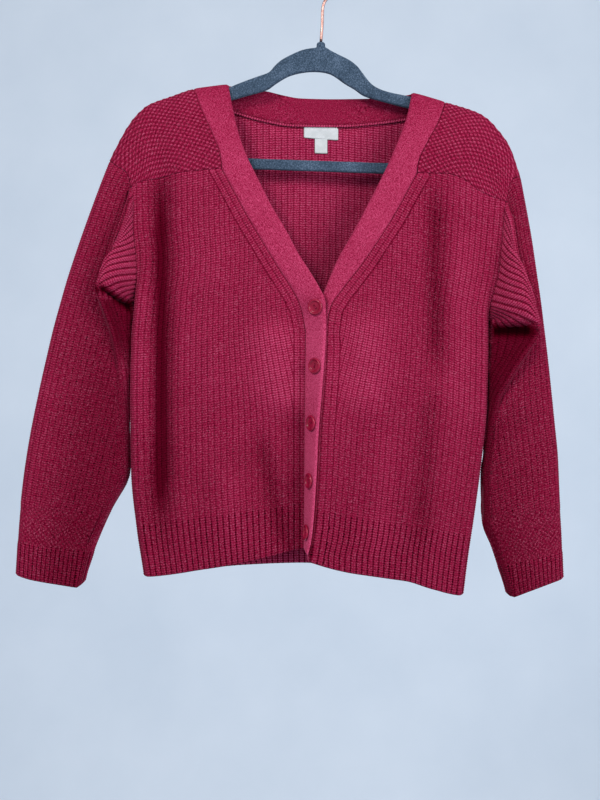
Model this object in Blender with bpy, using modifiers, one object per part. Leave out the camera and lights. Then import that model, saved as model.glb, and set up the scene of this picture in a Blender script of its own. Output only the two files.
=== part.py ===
"""A button cardigan on its hanger, as worn cloth walls over a slim moulded hanger.

Lengths are millimetres here and become metres when a mesh is made. The origin is where the hook rests,
+X is to the viewer's right, +Y goes into the wall behind and +Z is up. Right and left are the wearer's,
so the right front lies at -X. Every cloth wall is given by the points of its plain inside.
"""

import math

import bmesh
import bpy
import numpy as np

MM = 0.001

# Cloth
WALL = 1.8  # from the plain inside to the groove between two ribs
RIB_RISE = 1.4  # a rib's crest above that groove
BAND_WALL = 2.4
YOKE_WALL = 2.6
SEAM_GAP = 0.3
RIBS_RIGHT_FRONT = 30
RIBS_LEFT_FRONT = 29
RIBS_BACK = 60

# Shoulder drape: the cloth falls from the hanger in an ellipse of these heights
FRONT_FALL = 120.0
BACK_FALL = 90.0
TURN_RIBS = 2  # ribs that turn round the side of the body

# Hanger
HANGER_THICK = 5.0
HANGER_EDGE = 1.9
HANGER_SEAT = 0.5  # extra room between the arms' top edge and the cloth
HOOK_WIRE = 3.4
HOOK_INSIDE = 19.0  # radius inside the hook's bend

# Buttons
BUTTON_RADIUS = 9.0
BUTTON_THICK = 3.2
BUTTON_SHARE = 0.63  # where a button's middle lies, from the band's seam to its free edge
BUTTON_SEAT = 0.45
BUTTON_STEPS = 16

LABEL_THICK = 0.6
LABEL_SEAT = 0.4

CRIMSON = (0.30, 0.012, 0.055, 1.0)
BUTTON_RED = (0.26, 0.006, 0.03, 1.0)
SLATE = (0.075, 0.115, 0.17, 1.0)
STEEL = (0.62, 0.55, 0.50, 1.0)
WHITE = (0.82, 0.82, 0.80, 1.0)


def table(columns, rows):
    """Rows of numbers under named columns, as one array for each column."""
    return dict(zip(columns.split(), np.array(rows, float).T))


# Edges of the body. The side edge is the side seam up to the underarm and the armhole above it.
# edge_depth is how far the edge stands in front of the hanger's plane, turn how wide the side's turn is.
RIGHT_EDGE = table(
    "height side_x edge_depth back_depth turn",
    [
        (-745, -207, 0, 0, 8),
        (-723, -209, 0, 0, 8),
        (-670, -217, 0, 0, 8),
        (-600, -224, 0, 0, 8),
        (-517, -225, 0, 0, 8),
        (-446, -223, 0, 0, 8),
        (-399, -217, 0, 0, 8),
        (-374, -217, 9, 7, 11),
        (-350, -219, 13, 10, 13),
        (-311, -223, 16, 12, 13),
        (-262, -224, 17, 12, 13),
    ],
)
LEFT_EDGE = table(
    "height side_x edge_depth back_depth turn",
    [
        (-760, 160, 0, 0, 8),
        (-745, 162, 0, 0, 8),
        (-705, 167, 0, 0, 8),
        (-644, 176, 0, 0, 8),
        (-582, 184, 0, 0, 8),
        (-517, 190, 0, 0, 8),
        (-450, 191, 0, 0, 8),
        (-420, 191, 0, 0, 8),
        (-396, 197, 9, 7, 11),
        (-370, 204, 13, 10, 13),
        (-320, 209, 16, 12, 13),
        (-275, 212, 17, 12, 13),
    ],
)
UNDERARM = {"right": -399.0, "left": -420.0}

# Depth of each front's inside, at five places from its side to the line of its band seam
ACROSS = np.array([0.08, 0.30, 0.50, 0.80, 1.00])
RIGHT_DEPTH = table(
    "height side quarter middle inner seam",
    [
        (-745, 12, 20, 24, 23, 16),
        (-700, 13, 21, 25, 24, 16),
        (-650, 13, 22, 26, 24, 15),
        (-580, 14, 23, 28, 26, 17),
        (-500, 15, 24, 29, 30, 21),
        (-440, 16, 24, 28, 31, 26),
        (-360, 17, 24, 27, 29, 29),
        (-300, 17, 24, 27, 28, 28),
        (-250, 18, 24, 26, 26, 26),
    ],
)
LEFT_DEPTH = table(
    "height side quarter middle inner seam",
    [
        (-745, 12, 20, 26, 35, 43),
        (-690, 12, 20, 27, 36, 43),
        (-640, 13, 21, 27, 35, 42),
        (-580, 14, 22, 28, 34, 42),
        (-500, 15, 23, 28, 34, 42),
        (-437, 16, 24, 28, 33, 39),
        (-395, 16, 24, 28, 30, 32),
        (-300, 17, 24, 27, 28, 28),
        (-250, 18, 24, 26, 26, 26),
    ],
)
BACK_DEPTH = table(
    "height right_side right middle left left_side",
    [
        (-745, 9, 15, 17, 16, 9),
        (-640, 10, 16, 19, 17, 10),
        (-517, 10, 17, 20, 17, 10),
        (-400, 11, 16, 18, 16, 11),
        (-300, 12, 16, 17, 16, 12),
        (-150, 12, 16, 17, 16, 12),
    ],
)
BACK_ACROSS = np.array([0.06, 0.25, 0.50, 0.75, 0.94])

# Lower edges, upper seams and the shoulder line, each as heights along the body's width
RIGHT_HEM = table(
    "x height", [(-209, -723), (-194, -722), (-153, -715), (-86, -703), (-28, -690), (-21, -689)]
)
LEFT_HEM = table(
    "x height", [(-18, -700), (15, -711), (60, -720), (95, -726), (126, -736), (150, -743), (162, -745)]
)
BACK_HEM = table(
    "x height", [(-209, -723), (-150, -719), (-90, -714), (-28, -712), (40, -718), (100, -731), (162, -745)]
)
RIGHT_YOKE_SEAM = table(
    "x height", [(-224, -270), (-215, -264.5), (-186, -259), (-157, -254), (-118, -251)]
)
LEFT_YOKE_SEAM = table(
    "x height", [(107, -256), (139, -256), (160, -262), (178, -274), (205, -285), (212, -287)]
)
RIGHT_BACK_YOKE_SEAM = table("x height", [(-224, -262), (-190, -214), (-160, -184), (-135, -164.5)])
LEFT_BACK_YOKE_SEAM = table("x height", [(128, -174), (150, -194), (180, -228), (212, -276)])
BACK_NECK_SEAM = table(
    "x height",
    [(-135, -164.5), (-110, -173), (-73, -183), (-35, -189), (24, -189.6), (62, -187), (101, -182), (128, -174)],
)
SHOULDER = table(
    "x height",
    [
        (-252, -240),
        (-250, -236),
        (-240, -216),
        (-230, -198),
        (-222, -186.5),
        (-214, -178),
        (-205, -171),
        (-179, -161.4),
        (-149, -151.8),
        (-111, -147.1),
        (0, -147),
        (103, -156.6),
        (117, -161.3),
        (152, -170.8),
        (181, -180.4),
        (194, -189),
        (203, -199),
        (211, -209),
        (218, -221),
        (224, -238),
        (230.5, -258),
    ],
)

# The band seam up each V: it leaves the straight placket and slants to the yoke
RIGHT_V = table(
    "x height", [(-118, -251), (-86.6, -309), (-53.6, -364), (-35, -393), (-26, -412), (-21, -437)]
)
LEFT_V = table("x height", [(3, -437), (7, -412), (18, -394), (44.4, -360), (78, -309), (107, -256)])

# Where the yokes' neck and armhole edges lie as they pass over the shoulder, by the angle of the drape:
# positive degrees are on the front, 0 is the shoulder line, negative degrees are on the back
RIGHT_YOKE_ENDS = table(
    "angle neck_x arm_x",
    [(-80, -135, -224), (-33, -135, -240), (-20, -146, -246), (0, -153.4, -250), (35, -146, -244),
     (65, -131, -229), (72, -125, -224), (82, -118, -224)],
)
LEFT_YOKE_ENDS = table(
    "angle neck_x arm_x",
    [(-80, 128, 212), (-28, 128, 222), (-16, 138, 227), (0, 143.4, 230.5), (35, 137, 224), (60, 124, 216),
     (70, 116, 212), (82, 107, 212)],
)

# The placket: the right front's band seam, and the free edge of its band, which stands forward
PLACKET = table(
    "height seam_x free_x free_depth",
    [
        (-694, -21, -20, 46),
        (-670, -21, -14.5, 46),
        (-610, -21, -9.5, 45),
        (-550, -21, -6.5, 45),
        (-490, -21, -1.5, 45),
        (-440, -21, 2, 43),
    ],
)
PLACKET_LAP = 4.2  # how far the under band's inside lies behind the top band's

# The band's free edge along each V and over each shoulder, beside the seam point of the same row
RIGHT_FREE = table(
    "seam_x free_x free_height free_depth",
    [
        (-26, 1.5, -407, 42),
        (-35, -5.3, -389, 36),
        (-53.6, -30.5, -347, 29.5),
        (-70, -44, -321, 27),
        (-86.6, -59.9, -294, 25),
        (-103, -75, -264, 23),
        (-118, -89, -236, 21),
    ],
)
LEFT_FREE = table(
    "seam_x free_x free_height free_depth",
    [
        (107, 74, -245, 21),
        (92, 60, -273, 23),
        (78, 46, -300, 25),
        (61, 31, -328, 26),
        (44.4, 17, -352, 26),
        (18, 2, -387, 27),
        (7, -6, -408, 27),
    ],
)
RIGHT_SHOULDER_FREE = table(
    "angle free_x free_height free_y",
    [(82, -89, -236, -21), (55, -99, -207, -17), (28, -107, -172, -11), (14, -110.5, -154, -6.5),
     (6, -111.4, -148.8, -3.4), (0, -111.5, -147.0, 0), (-5, -110.5, -147.2, 3.2), (-14, -105, -146.5, 7.5),
     (-33, -91, -145.5, 11)],
)
LEFT_SHOULDER_FREE = table(
    "angle free_x free_height free_y",
    [(82, 74, -245, -21), (55, 88, -211, -17), (28, 98, -182, -11), (14, 102, -164, -6.5),
     (6, 103.2, -158.4, -3.4), (0, 103.3, -156.5, 0), (-5, 102.5, -156.6, 3.2), (-13, 99, -155.6, 7.5),
     (-28, 91, -154.5, 11)],
)
BACK_FREE = table(
    "seam_x free_x free_height free_y",
    [
        (-135, -91, -145.5, 11),
        (-110, -68, -148, 13),
        (-73, -48, -152.5, 14),
        (-35, -27, -156, 14.5),
        (24, 14, -157, 14.5),
        (62, 54, -156.5, 14),
        (101, 76, -155, 13),
        (128, 91, -154.5, 11),
    ],
)

# Soft folds: straight lines on the body, depth positive for a ridge and negative for a trough
FRONT_FOLDS = table(
    "x_top top x_low low half_width depth",
    [
        (-189, -275, -186, -540, 12, -4.0),
        (-206, -320, -205, -600, 9, 2.0),
        (-60, -430, -40, -530, 30, 4.0),
        (-75, -560, -45, -690, 12, -3.5),
        (-110, -600, -100, -700, 16, 1.5),
        (146, -290, 150, -450, 12, -4.0),
        (168, -320, 170, -560, 11, 2.5),
        (122, -500, 108, -690, 14, -3.0),
        (45, -420, 50, -530, 26, 3.0),
        (75, -560, 60, -700, 14, 1.5),
    ],
)
BACK_FOLDS = table(
    "x_top top x_low low half_width depth",
    [
        (-170, -290, -150, -620, 14, -4.0),
        (-110, -240, -120, -560, 20, 2.5),
        (-30, -230, -45, -690, 16, -3.0),
        (35, -260, 30, -620, 22, 3.0),
        (100, -300, 85, -700, 14, -4.0),
        (150, -330, 140, -640, 16, 2.0),
    ],
)

# Sleeve rings below the armhole. Distances (out) are from the middle of the body, levels (z) are heights and
# depths (d) are toward the front. top is the outer edge and apex the front layer beside it. foot and ridge are
# the two sides of the drag fold's edge: the fold's flap runs from the ridge past flap and lip to under, the
# underarm line. Lower down the flap has gone and the same points round the sleeve's inner edge.
RING_COLUMNS = (
    "top_out top_z apex_out apex_z apex_d foot_out foot_z foot_d ridge_out ridge_z ridge_d "
    "flap_out flap_z flap_d lip_out lip_z lip_d under_out under_z under_d back_out back_z"
)
RIGHT_RINGS = table(
    RING_COLUMNS,
    [
        (257.5, -257, 243, -266, 15, 227.5, -284, 14.5, 225, -285, 22, 229, -330, 25, 239, -378, 29, 226,
         -401, 1, 229, -318),
        (283, -326, 266, -333, 14, 243, -342, 14, 240, -341, 33, 249, -364, 35, 251, -384, 33, 228.5, -404,
         2, 237, -334),
        (299, -374, 281, -381, 14, 261.5, -388, 14, 258.5, -387, 35.5, 250, -394, 20, 240, -400, 9.5, 230,
         -410, 3, 245, -352),
        (303.5, -389, 284, -395, 13.5, 260, -400, 14, 256.5, -397, 33, 248, -406, 22, 239.5, -412, 13, 227,
         -421, 3, 251, -370),
        (308, -405, 283, -414, 13.5, 253, -422, 13, 249.5, -418, 28, 243.5, -422, 20, 238, -427, 13, 228.6,
         -438, 4, 259, -396),
        (316, -434, 288, -443, 13, 245.5, -449, 12, 242, -444, 22, 239.5, -447, 16, 237, -451, 11, 229.9,
         -456, 4, 268, -432),
        (321.5, -457, 290, -468, 13, 241, -482, 12, 238, -479, 14, 236.5, -482, 11, 232.2, -484, 7, 230.8,
         -486, 3, 276, -466),
        (331.5, -501, 303, -510, 13, 239, -530, 11, 234, -532, 8, 232.6, -532, 6, 231.8, -533, 4, 231.4,
         -534, 1, 283, -516),
        (343.5, -560, 315, -569, 13, 239, -592, 10, 232.5, -595, 6, 231.8, -595.5, 5, 231.2, -596, 4, 230.6,
         -597, 2, 289, -578),
        (351.5, -612, 327, -620, 12, 259, -642, 9, 253.5, -645, 5, 253, -645.5, 4, 252.5, -646, 3, 252,
         -647, 1.5, 302, -629),
        (356.5, -660, 336, -667, 10.5, 278, -687, 7, 273, -689, 4, 272, -690, 3, 271.5, -690.5, 2, 271,
         -691, 1, 314, -675),
        (360.5, -722, 343, -727, 9.5, 290, -737, 6, 285.5, -734, 3.5, 284.8, -733, 2.8, 284.2, -732, 2,
         283.5, -731.5, 1, 322, -729),
    ],
)
LEFT_RINGS = table(
    RING_COLUMNS,
    [
        (232.8, -274, 226, -284, 14, 217.5, -304, 14, 215.5, -305, 22, 213, -360, 25, 214, -412, 25, 199.5,
         -422, 1, 213, -332),
        (242, -324, 236, -333, 13, 223, -351, 14, 220.5, -350, 28, 229.5, -384, 33, 231, -419, 33, 200,
         -429, 1.5, 218, -346),
        (252.5, -399, 250, -411, 12.5, 246.5, -430, 14, 244, -429, 36, 232, -432, 21, 218, -431, 10, 198.5,
         -437, 2, 224, -372),
        (255, -417, 252, -427, 12.5, 245.5, -445, 13.5, 243, -441, 33, 229, -446, 20, 214, -447, 11, 197.6,
         -450, 3, 227, -392),
        (258, -438, 251, -447, 13, 231.5, -469, 13, 228.5, -465, 29, 219, -467, 20, 210, -469, 12, 197.3,
         -470, 3, 229.5, -420),
        (262, -470, 250, -479, 13, 217.5, -493, 12.5, 214.5, -489, 24, 207, -490, 18, 201, -491, 12, 197,
         -492, 4, 231, -456),
        (265.5, -502, 248, -510, 13, 204.5, -521, 11, 201.5, -517, 16, 199.5, -517.5, 12, 197.8, -518, 8,
         196.4, -519, 3, 233, -500),
        (270, -546, 250, -553, 13, 199.5, -567, 10, 194.5, -568, 6, 193.5, -568.5, 5, 192.6, -569, 4, 191.8,
         -570, 2, 233, -556),
        (273.5, -582, 252, -589, 13, 195, -603, 10, 189.8, -604, 6, 189, -604.5, 5, 188.3, -605, 4, 187.6,
         -606, 2, 232, -592),
        (276, -635, 255, -642, 12, 195.5, -655, 9, 190.5, -656, 5, 189.8, -656.5, 4, 189.2, -657, 3, 188.5,
         -658, 1.5, 232, -646),
        (278.2, -668, 260, -674, 10.5, 207, -688, 7, 202.5, -689.5, 4, 201.5, -690, 3, 200.8, -690.5, 2,
         200, -691, 1, 239, -679),
        (280.7, -726, 266, -731, 9.5, 224, -748, 6, 219.5, -747, 3.5, 218.8, -746.5, 2.8, 218.2, -746, 2,
         217.5, -745, 1, 249, -735),
    ],
)
RING_BACK = 12.0  # how far the sleeve's back layer lies behind the hanger's plane
OUTER_RIBS = 17  # front ribs from the outer edge to the drag fold's foot
FLAP_RIBS = 19  # front ribs from the fold's ridge to the underarm
BACK_RIBS = 26  # back ribs from the outer edge to the underarm
LAST_FLAP_RING = 2  # below it the flap's ribs run along the ridge instead of out from the armhole
LIP_RIB = 13.5  # the flap rib that runs along its lip, and is the ridge below the flap
FLAP_PITCH = 7.4
RIB_CROWD = 3.2
RIB_SPACING = table(
    "ring outer back",
    [(1, 7.0, 6.5), (2, 7.0, 5.4), (3, 7.0, 5.2), (4, 7.0, 5.5), (5, 7.0, 6.1), (6, 7.0, 6.6), (7, 7.0, 7.0),
     (9, 6.8, 6.8), (10, 6.4, 6.4), (11, 5.4, 5.4), (12, 4.9, 4.9)],
)

# Hanger outline: the top and the underside of the arch and arms, then the trouser bar
HANGER_TOP = table(
    "x height",
    [
        (-206, -176), (-200, -171), (-179, -162), (-149, -152.4), (-111, -147.6), (-104, -144.6), (-90, -139.2),
        (-77, -134.5), (-64, -129.5), (-58, -122.7), (-50, -115.6), (-37, -108.5), (-24, -103.2), (-9, -100.8),
        (3, -100.8), (8, -103.8), (17, -108.5), (31, -115.6), (40, -122.7), (45.5, -129.8), (57, -143.9),
        (70, -151), (99, -157.8), (117, -161.9), (152, -171.4), (181, -181), (192, -189.5), (198, -198),
    ],
)
HANGER_UNDER = table(
    "x height",
    [
        (-190, -182), (-179, -178), (-149, -171), (-111, -164), (-90, -158), (-66, -151), (-56, -144),
        (-42, -135.7), (-28, -131.5), (-10, -129.8), (8, -132.7), (25, -143.9), (37, -151), (47, -158),
        (70, -165), (93, -171), (117, -177), (152, -186), (178, -197),
    ],
)
BAR_MIDDLE = (-5.0, -241.0)
BAR_TILT = -0.0345
BAR_TALL = 12.7
BAR_HALF = 172.0
BAR_CORNER = 26.0
BOSS_TOP = -94.4
BOSS_HALF = 5.0

BUTTON_HEIGHTS = (-411.0, -478.0, -543.0, -609.0, -668.0)
LABEL_BOX = (-24.0, 19.0, -190.5, -205.0)
TAB_BOX = (-10.4, 4.5, -205.5, -221.5)


def smooth(keys, values, at):
    """Values between the rows of a table, on a curve that never overshoots them."""
    keys = np.asarray(keys, float)
    values = np.asarray(values, float)
    if keys[0] > keys[-1]:
        keys = keys[::-1]
        values = values[::-1]
    at = np.clip(np.asarray(at, float), keys[0], keys[-1])
    step = np.diff(keys)
    slope = np.diff(values) / step
    bend = np.zeros(len(keys))
    bend[0] = slope[0]
    bend[-1] = slope[-1]
    if len(keys) > 2:
        before = slope[:-1]
        after = slope[1:]
        total = before + after
        turns = before * after <= 0
        bend[1:-1] = np.where(turns, 0.0, 2 * before * after / np.where(turns, 1.0, total))
    cell = np.clip(np.searchsorted(keys, at, side="right") - 1, 0, len(step) - 1)
    t = (at - keys[cell]) / step[cell]
    a = values[cell] * (2 * t**3 - 3 * t**2 + 1) + values[cell + 1] * (3 * t**2 - 2 * t**3)
    b = step[cell] * (bend[cell] * (t**3 - 2 * t**2 + t) + bend[cell + 1] * (t**3 - t**2))
    return a + b


def column(rows, key, name, at):
    return smooth(rows[key], rows[name], at)


def across(stations, rows, x_share, height):
    """A depth table read at a place across the panel and a height."""
    names = [name for name in rows if name != "height"]
    levels = np.stack([smooth(rows["height"], rows[name], height) for name in names], axis=-1)
    share = np.clip(x_share, stations[0], stations[-1])
    cell = np.clip(np.searchsorted(stations, share, side="right") - 1, 0, len(stations) - 2)
    t = (share - stations[cell]) / (stations[cell + 1] - stations[cell])
    t = t * t * (3 - 2 * t)
    low = np.take_along_axis(levels, np.expand_dims(cell, -1), -1)[..., 0]
    high = np.take_along_axis(levels, np.expand_dims(cell + 1, -1), -1)[..., 0]
    return low + (high - low) * t


def folds(rows, x, height):
    """The sum of the soft folds at a place on the body."""
    total = np.zeros(np.broadcast(x, height).shape)
    for x_top, top, x_low, low, half, depth in zip(*rows.values()):
        along = (top - height) / (top - low)
        line = x_top + (x_low - x_top) * np.clip(along, 0, 1)
        fade = np.clip(np.minimum(along + 0.15, 1.15 - along) / 0.35, 0, 1)
        total = total + depth * np.exp(-(((x - line) / half) ** 2)) * fade * fade * (3 - 2 * fade)
    return total


def drape(x, height, fall):
    """0 on the shoulder line, growing to 1 where the cloth has left it by the height of its fall."""
    drop = np.clip((column(SHOULDER, "x", "height", x) - height) / fall, 0, 1)
    return np.sqrt(1 - (1 - drop) ** 2)


SIDES = {
    "right": dict(
        edge=RIGHT_EDGE, depth=RIGHT_DEPTH, hem=RIGHT_HEM, yoke=RIGHT_YOKE_SEAM, back_yoke=RIGHT_BACK_YOKE_SEAM,
        slant=RIGHT_V, ends=RIGHT_YOKE_ENDS, rings=RIGHT_RINGS, sign=-1, ribs=RIBS_RIGHT_FRONT,
        fold_start=-268.0, lip=-373.0,
    ),
    "left": dict(
        edge=LEFT_EDGE, depth=LEFT_DEPTH, hem=LEFT_HEM, yoke=LEFT_YOKE_SEAM, back_yoke=LEFT_BACK_YOKE_SEAM,
        slant=LEFT_V, ends=LEFT_YOKE_ENDS, rings=LEFT_RINGS, sign=1, ribs=RIBS_LEFT_FRONT,
        fold_start=-285.0, lip=-404.0,
    ),
}


def side_x(side, height):
    return column(SIDES[side]["edge"], "height", "side_x", height)


def top_band_edge(height):
    """Seam and free edge of the right front's band in the placket, as (x, depth) pairs at a height."""
    seam_x = column(PLACKET, "height", "seam_x", height)
    seam_depth = smooth(RIGHT_DEPTH["height"], RIGHT_DEPTH["seam"], height)
    free_x = column(PLACKET, "height", "free_x", height)
    free_depth = column(PLACKET, "height", "free_depth", height)
    return seam_x, seam_depth, free_x, free_depth


def band_facing(height):
    """The way the buttoned band faces in the placket, as its x and depth parts."""
    seam_x, seam_depth, free_x, free_depth = top_band_edge(height)
    run = free_x - seam_x
    rise = free_depth - seam_depth
    length = np.hypot(run, rise)
    return -rise / length, run / length


def placket_x(side, height):
    """Where a front meets its band, with the straight placket carried on upward."""
    seam_x, _, free_x, _ = top_band_edge(height)
    if side == "right":
        return seam_x
    facing_x, _ = band_facing(height)
    return free_x - facing_x * PLACKET_LAP


def front_depth(side, x, height):
    """How far a front's inside stands in front of the hanger's plane."""
    sign = SIDES[side]["sign"]
    edge = side_x(side, height)
    seam = placket_x(side, height)
    share = (x - edge) / (seam - edge)
    deep = across(ACROSS, SIDES[side]["depth"], share, height) + folds(FRONT_FOLDS, x, height)
    inside = np.clip(sign * (edge - x) / 30, 0, 1)
    deep = deep - folds(FRONT_FOLDS, x, height) * (1 - inside)
    return deep * drape(x, height, FRONT_FALL)


def back_depth(x, height):
    """How far the back's inside lies behind the hanger's plane."""
    right = side_x("right", height)
    left = side_x("left", height)
    share = (x - right) / (left - right)
    deep = across(BACK_ACROSS, BACK_DEPTH, share, height) + folds(BACK_FOLDS, x, height)
    return deep * drape(x, height, BACK_FALL)


def turning(ribs_in, edge_depth):
    """How far a rib has come inward and forward round the body's side: a round turn at a side seam, a flat run
    where an armhole's edge already stands forward."""
    along = np.clip(ribs_in / TURN_RIBS, 0, 1)
    flat = np.clip(edge_depth / 10, 0, 1)
    inward = (1 - flat) * (1 - np.cos(along * math.pi / 2)) + flat * along
    forward = (1 - flat) * np.sin(along * math.pi / 2) + flat * along
    return inward, forward


def front_x(side, rib, height):
    """x of a rib on a front, counted from the side."""
    rows = SIDES[side]
    turn = column(rows["edge"], "height", "turn", height)
    edge = side_x(side, height)
    seam = placket_x(side, height)
    way = -rows["sign"]
    inward, forward = turning(rib, column(rows["edge"], "height", "edge_depth", height))
    start = edge + way * turn
    flat = np.clip((rib - TURN_RIBS) / (rows["ribs"] - TURN_RIBS), 0, 1)
    return np.where(rib < TURN_RIBS, edge + way * turn * inward, start + (seam - start) * flat)


def front_point(side, rib, height):
    """A point of a front's plain inside."""
    x = front_x(side, rib, height)
    edge = column(SIDES[side]["edge"], "height", "edge_depth", height)
    inward, forward = turning(rib, edge)
    return np.stack([x, -(edge + (front_depth(side, x, height) - edge) * forward), height], axis=-1)


def front_top(side, rib):
    """Height of a front's upper edge at a rib: the yoke seam, then the slant of the V."""
    rows = SIDES[side]
    height = np.full(np.shape(rib), -300.0)
    for _ in range(30):
        x = front_x(side, rib, height)
        on_yoke = column(rows["yoke"], "x", "height", x)
        on_slant = column(rows["slant"], "x", "height", x)
        goal = np.minimum(on_yoke, on_slant)
        height = height + 0.6 * (goal - height)
    return height


def front_grid(side, ribs, rows):
    """Points of a front for its ribs and for rows given as shares of each rib's height."""
    rib, row = np.meshgrid(ribs, rows, indexing="ij")
    top = front_top(side, rib)
    bottom = column(SIDES[side]["hem"], "x", "height", front_x(side, rib, np.full(rib.shape, -720.0)))
    return front_point(side, rib, bottom + (top - bottom) * row)


def back_x(rib, height):
    """x of a rib on the back, counted from the right side."""
    right = side_x("right", height)
    left = side_x("left", height)
    turn_right = column(RIGHT_EDGE, "height", "turn", height)
    turn_left = column(LEFT_EDGE, "height", "turn", height)
    in_right, _ = turning(rib, column(RIGHT_EDGE, "height", "back_depth", height))
    in_left, _ = turning(RIBS_BACK - rib, column(LEFT_EDGE, "height", "back_depth", height))
    first = right + turn_right
    last = left - turn_left
    flat = np.clip((rib - TURN_RIBS) / (RIBS_BACK - 2 * TURN_RIBS), 0, 1)
    x = np.where(rib < TURN_RIBS, right + turn_right * in_right, first + (last - first) * flat)
    return np.where(rib > RIBS_BACK - TURN_RIBS, left - turn_left * in_left, x)


def back_point(rib, height):
    """A point of the back's plain inside."""
    x = back_x(rib, height)
    near_right = rib < RIBS_BACK / 2
    edge = np.where(
        near_right,
        column(RIGHT_EDGE, "height", "back_depth", height),
        column(LEFT_EDGE, "height", "back_depth", height),
    )
    inward, behind = turning(np.minimum(rib, RIBS_BACK - rib), edge)
    return np.stack([x, edge + (back_depth(x, height) - edge) * behind, height], axis=-1)


def back_top(rib):
    """Height of the back's upper edge: yoke seam, neck seam, yoke seam."""
    neck_right = BACK_NECK_SEAM["x"][0]
    neck_left = BACK_NECK_SEAM["x"][-1]
    height = np.full(np.shape(rib), -230.0)
    for _ in range(30):
        x = back_x(rib, height)
        goal = column(BACK_NECK_SEAM, "x", "height", x)
        goal = np.where(x < neck_right, column(RIGHT_BACK_YOKE_SEAM, "x", "height", x), goal)
        goal = np.where(x > neck_left, column(LEFT_BACK_YOKE_SEAM, "x", "height", x), goal)
        height = height + 0.6 * (goal - height)
    return height


def yoke_grid(side, shares, rows):
    """Points of a yoke: shares run from neck to armhole, rows from front seam (0) over the shoulder (0.5)
    to the back seam (1)."""
    ends = SIDES[side]["ends"]
    share, row = np.meshgrid(shares, rows, indexing="ij")
    front_seam = SIDES[side]["yoke"]
    back_seam = SIDES[side]["back_yoke"]
    sign = SIDES[side]["sign"]
    order = slice(None) if sign > 0 else slice(None, None, -1)
    neck_front = front_seam["x"][order][0]
    arm_front = front_seam["x"][order][-1]
    neck_back = back_seam["x"][order][0]
    arm_back = back_seam["x"][order][-1]

    def seam_angle(x, seam, fall):
        drop = column(SHOULDER, "x", "height", x) - column(seam, "x", "height", x)
        return np.degrees(np.arccos(1 - np.clip(drop / fall, 0, 1)))

    x_front = neck_front + (arm_front - neck_front) * share
    x_back = neck_back + (arm_back - neck_back) * share
    front_angle = seam_angle(x_front, front_seam, FRONT_FALL)
    back_angle = seam_angle(x_back, back_seam, BACK_FALL)
    turn = 1 - 2 * row
    angle = np.where(turn > 0, turn * front_angle, turn * back_angle)
    neck_angle = np.where(
        turn > 0,
        turn * seam_angle(neck_front, front_seam, FRONT_FALL),
        turn * seam_angle(neck_back, back_seam, BACK_FALL),
    )
    arm_angle = np.where(
        turn > 0,
        turn * seam_angle(arm_front, front_seam, FRONT_FALL),
        turn * seam_angle(arm_back, back_seam, BACK_FALL),
    )
    neck_x = column(ends, "angle", "neck_x", neck_angle)
    arm_x = column(ends, "angle", "arm_x", arm_angle)
    x = neck_x + (arm_x - neck_x) * share
    seam_blend = np.clip(np.abs(turn), 0, 1) ** 4
    x = x + (np.where(turn > 0, x_front, x_back) - x) * seam_blend
    bend = np.radians(angle)
    fall = np.where(turn > 0, FRONT_FALL, BACK_FALL)
    height = column(SHOULDER, "x", "height", x) - fall * (1 - np.cos(bend))
    front = front_depth(side, x, height)
    back = back_depth(x, height)
    return np.stack([x, np.where(turn > 0, -front, back), height], axis=-1)


def lengths(points):
    """Distance along a line of points, from its first."""
    return np.concatenate([[0.0], np.cumsum(np.linalg.norm(np.diff(points, axis=0), axis=1))])


def at_lengths(points, distances):
    along = lengths(points)
    return np.stack([np.interp(distances, along, points[:, axis]) for axis in range(3)], axis=-1)


CURVE_STEPS = 6


def through(points, steps=CURVE_STEPS):
    """A smooth open curve through points, with the same number of steps between each pair."""
    points = np.asarray(points, float)
    first = 2 * points[0] - points[1]
    last = 2 * points[-1] - points[-2]
    points = np.concatenate([[first], points, [last]])
    curve = []
    for before, start, end, after in zip(points, points[1:], points[2:], points[3:]):
        gap_a = max(np.linalg.norm(start - before), 1e-6) ** 0.5
        gap_b = max(np.linalg.norm(end - start), 1e-6) ** 0.5
        gap_c = max(np.linalg.norm(after - end), 1e-6) ** 0.5
        lean_a = gap_b * (
            (start - before) / gap_a - (end - before) / (gap_a + gap_b) + (end - start) / gap_b
        )
        lean_b = gap_b * ((end - start) / gap_b - (after - start) / (gap_b + gap_c) + (after - end) / gap_c)
        for t in np.arange(steps) / steps:
            curve.append(
                start * (2 * t**3 - 3 * t**2 + 1)
                + lean_a * (t**3 - 2 * t**2 + t)
                + end * (3 * t**2 - 2 * t**3)
                + lean_b * (t**3 - t**2)
            )
    return np.array(curve + [points[-2]])


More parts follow.
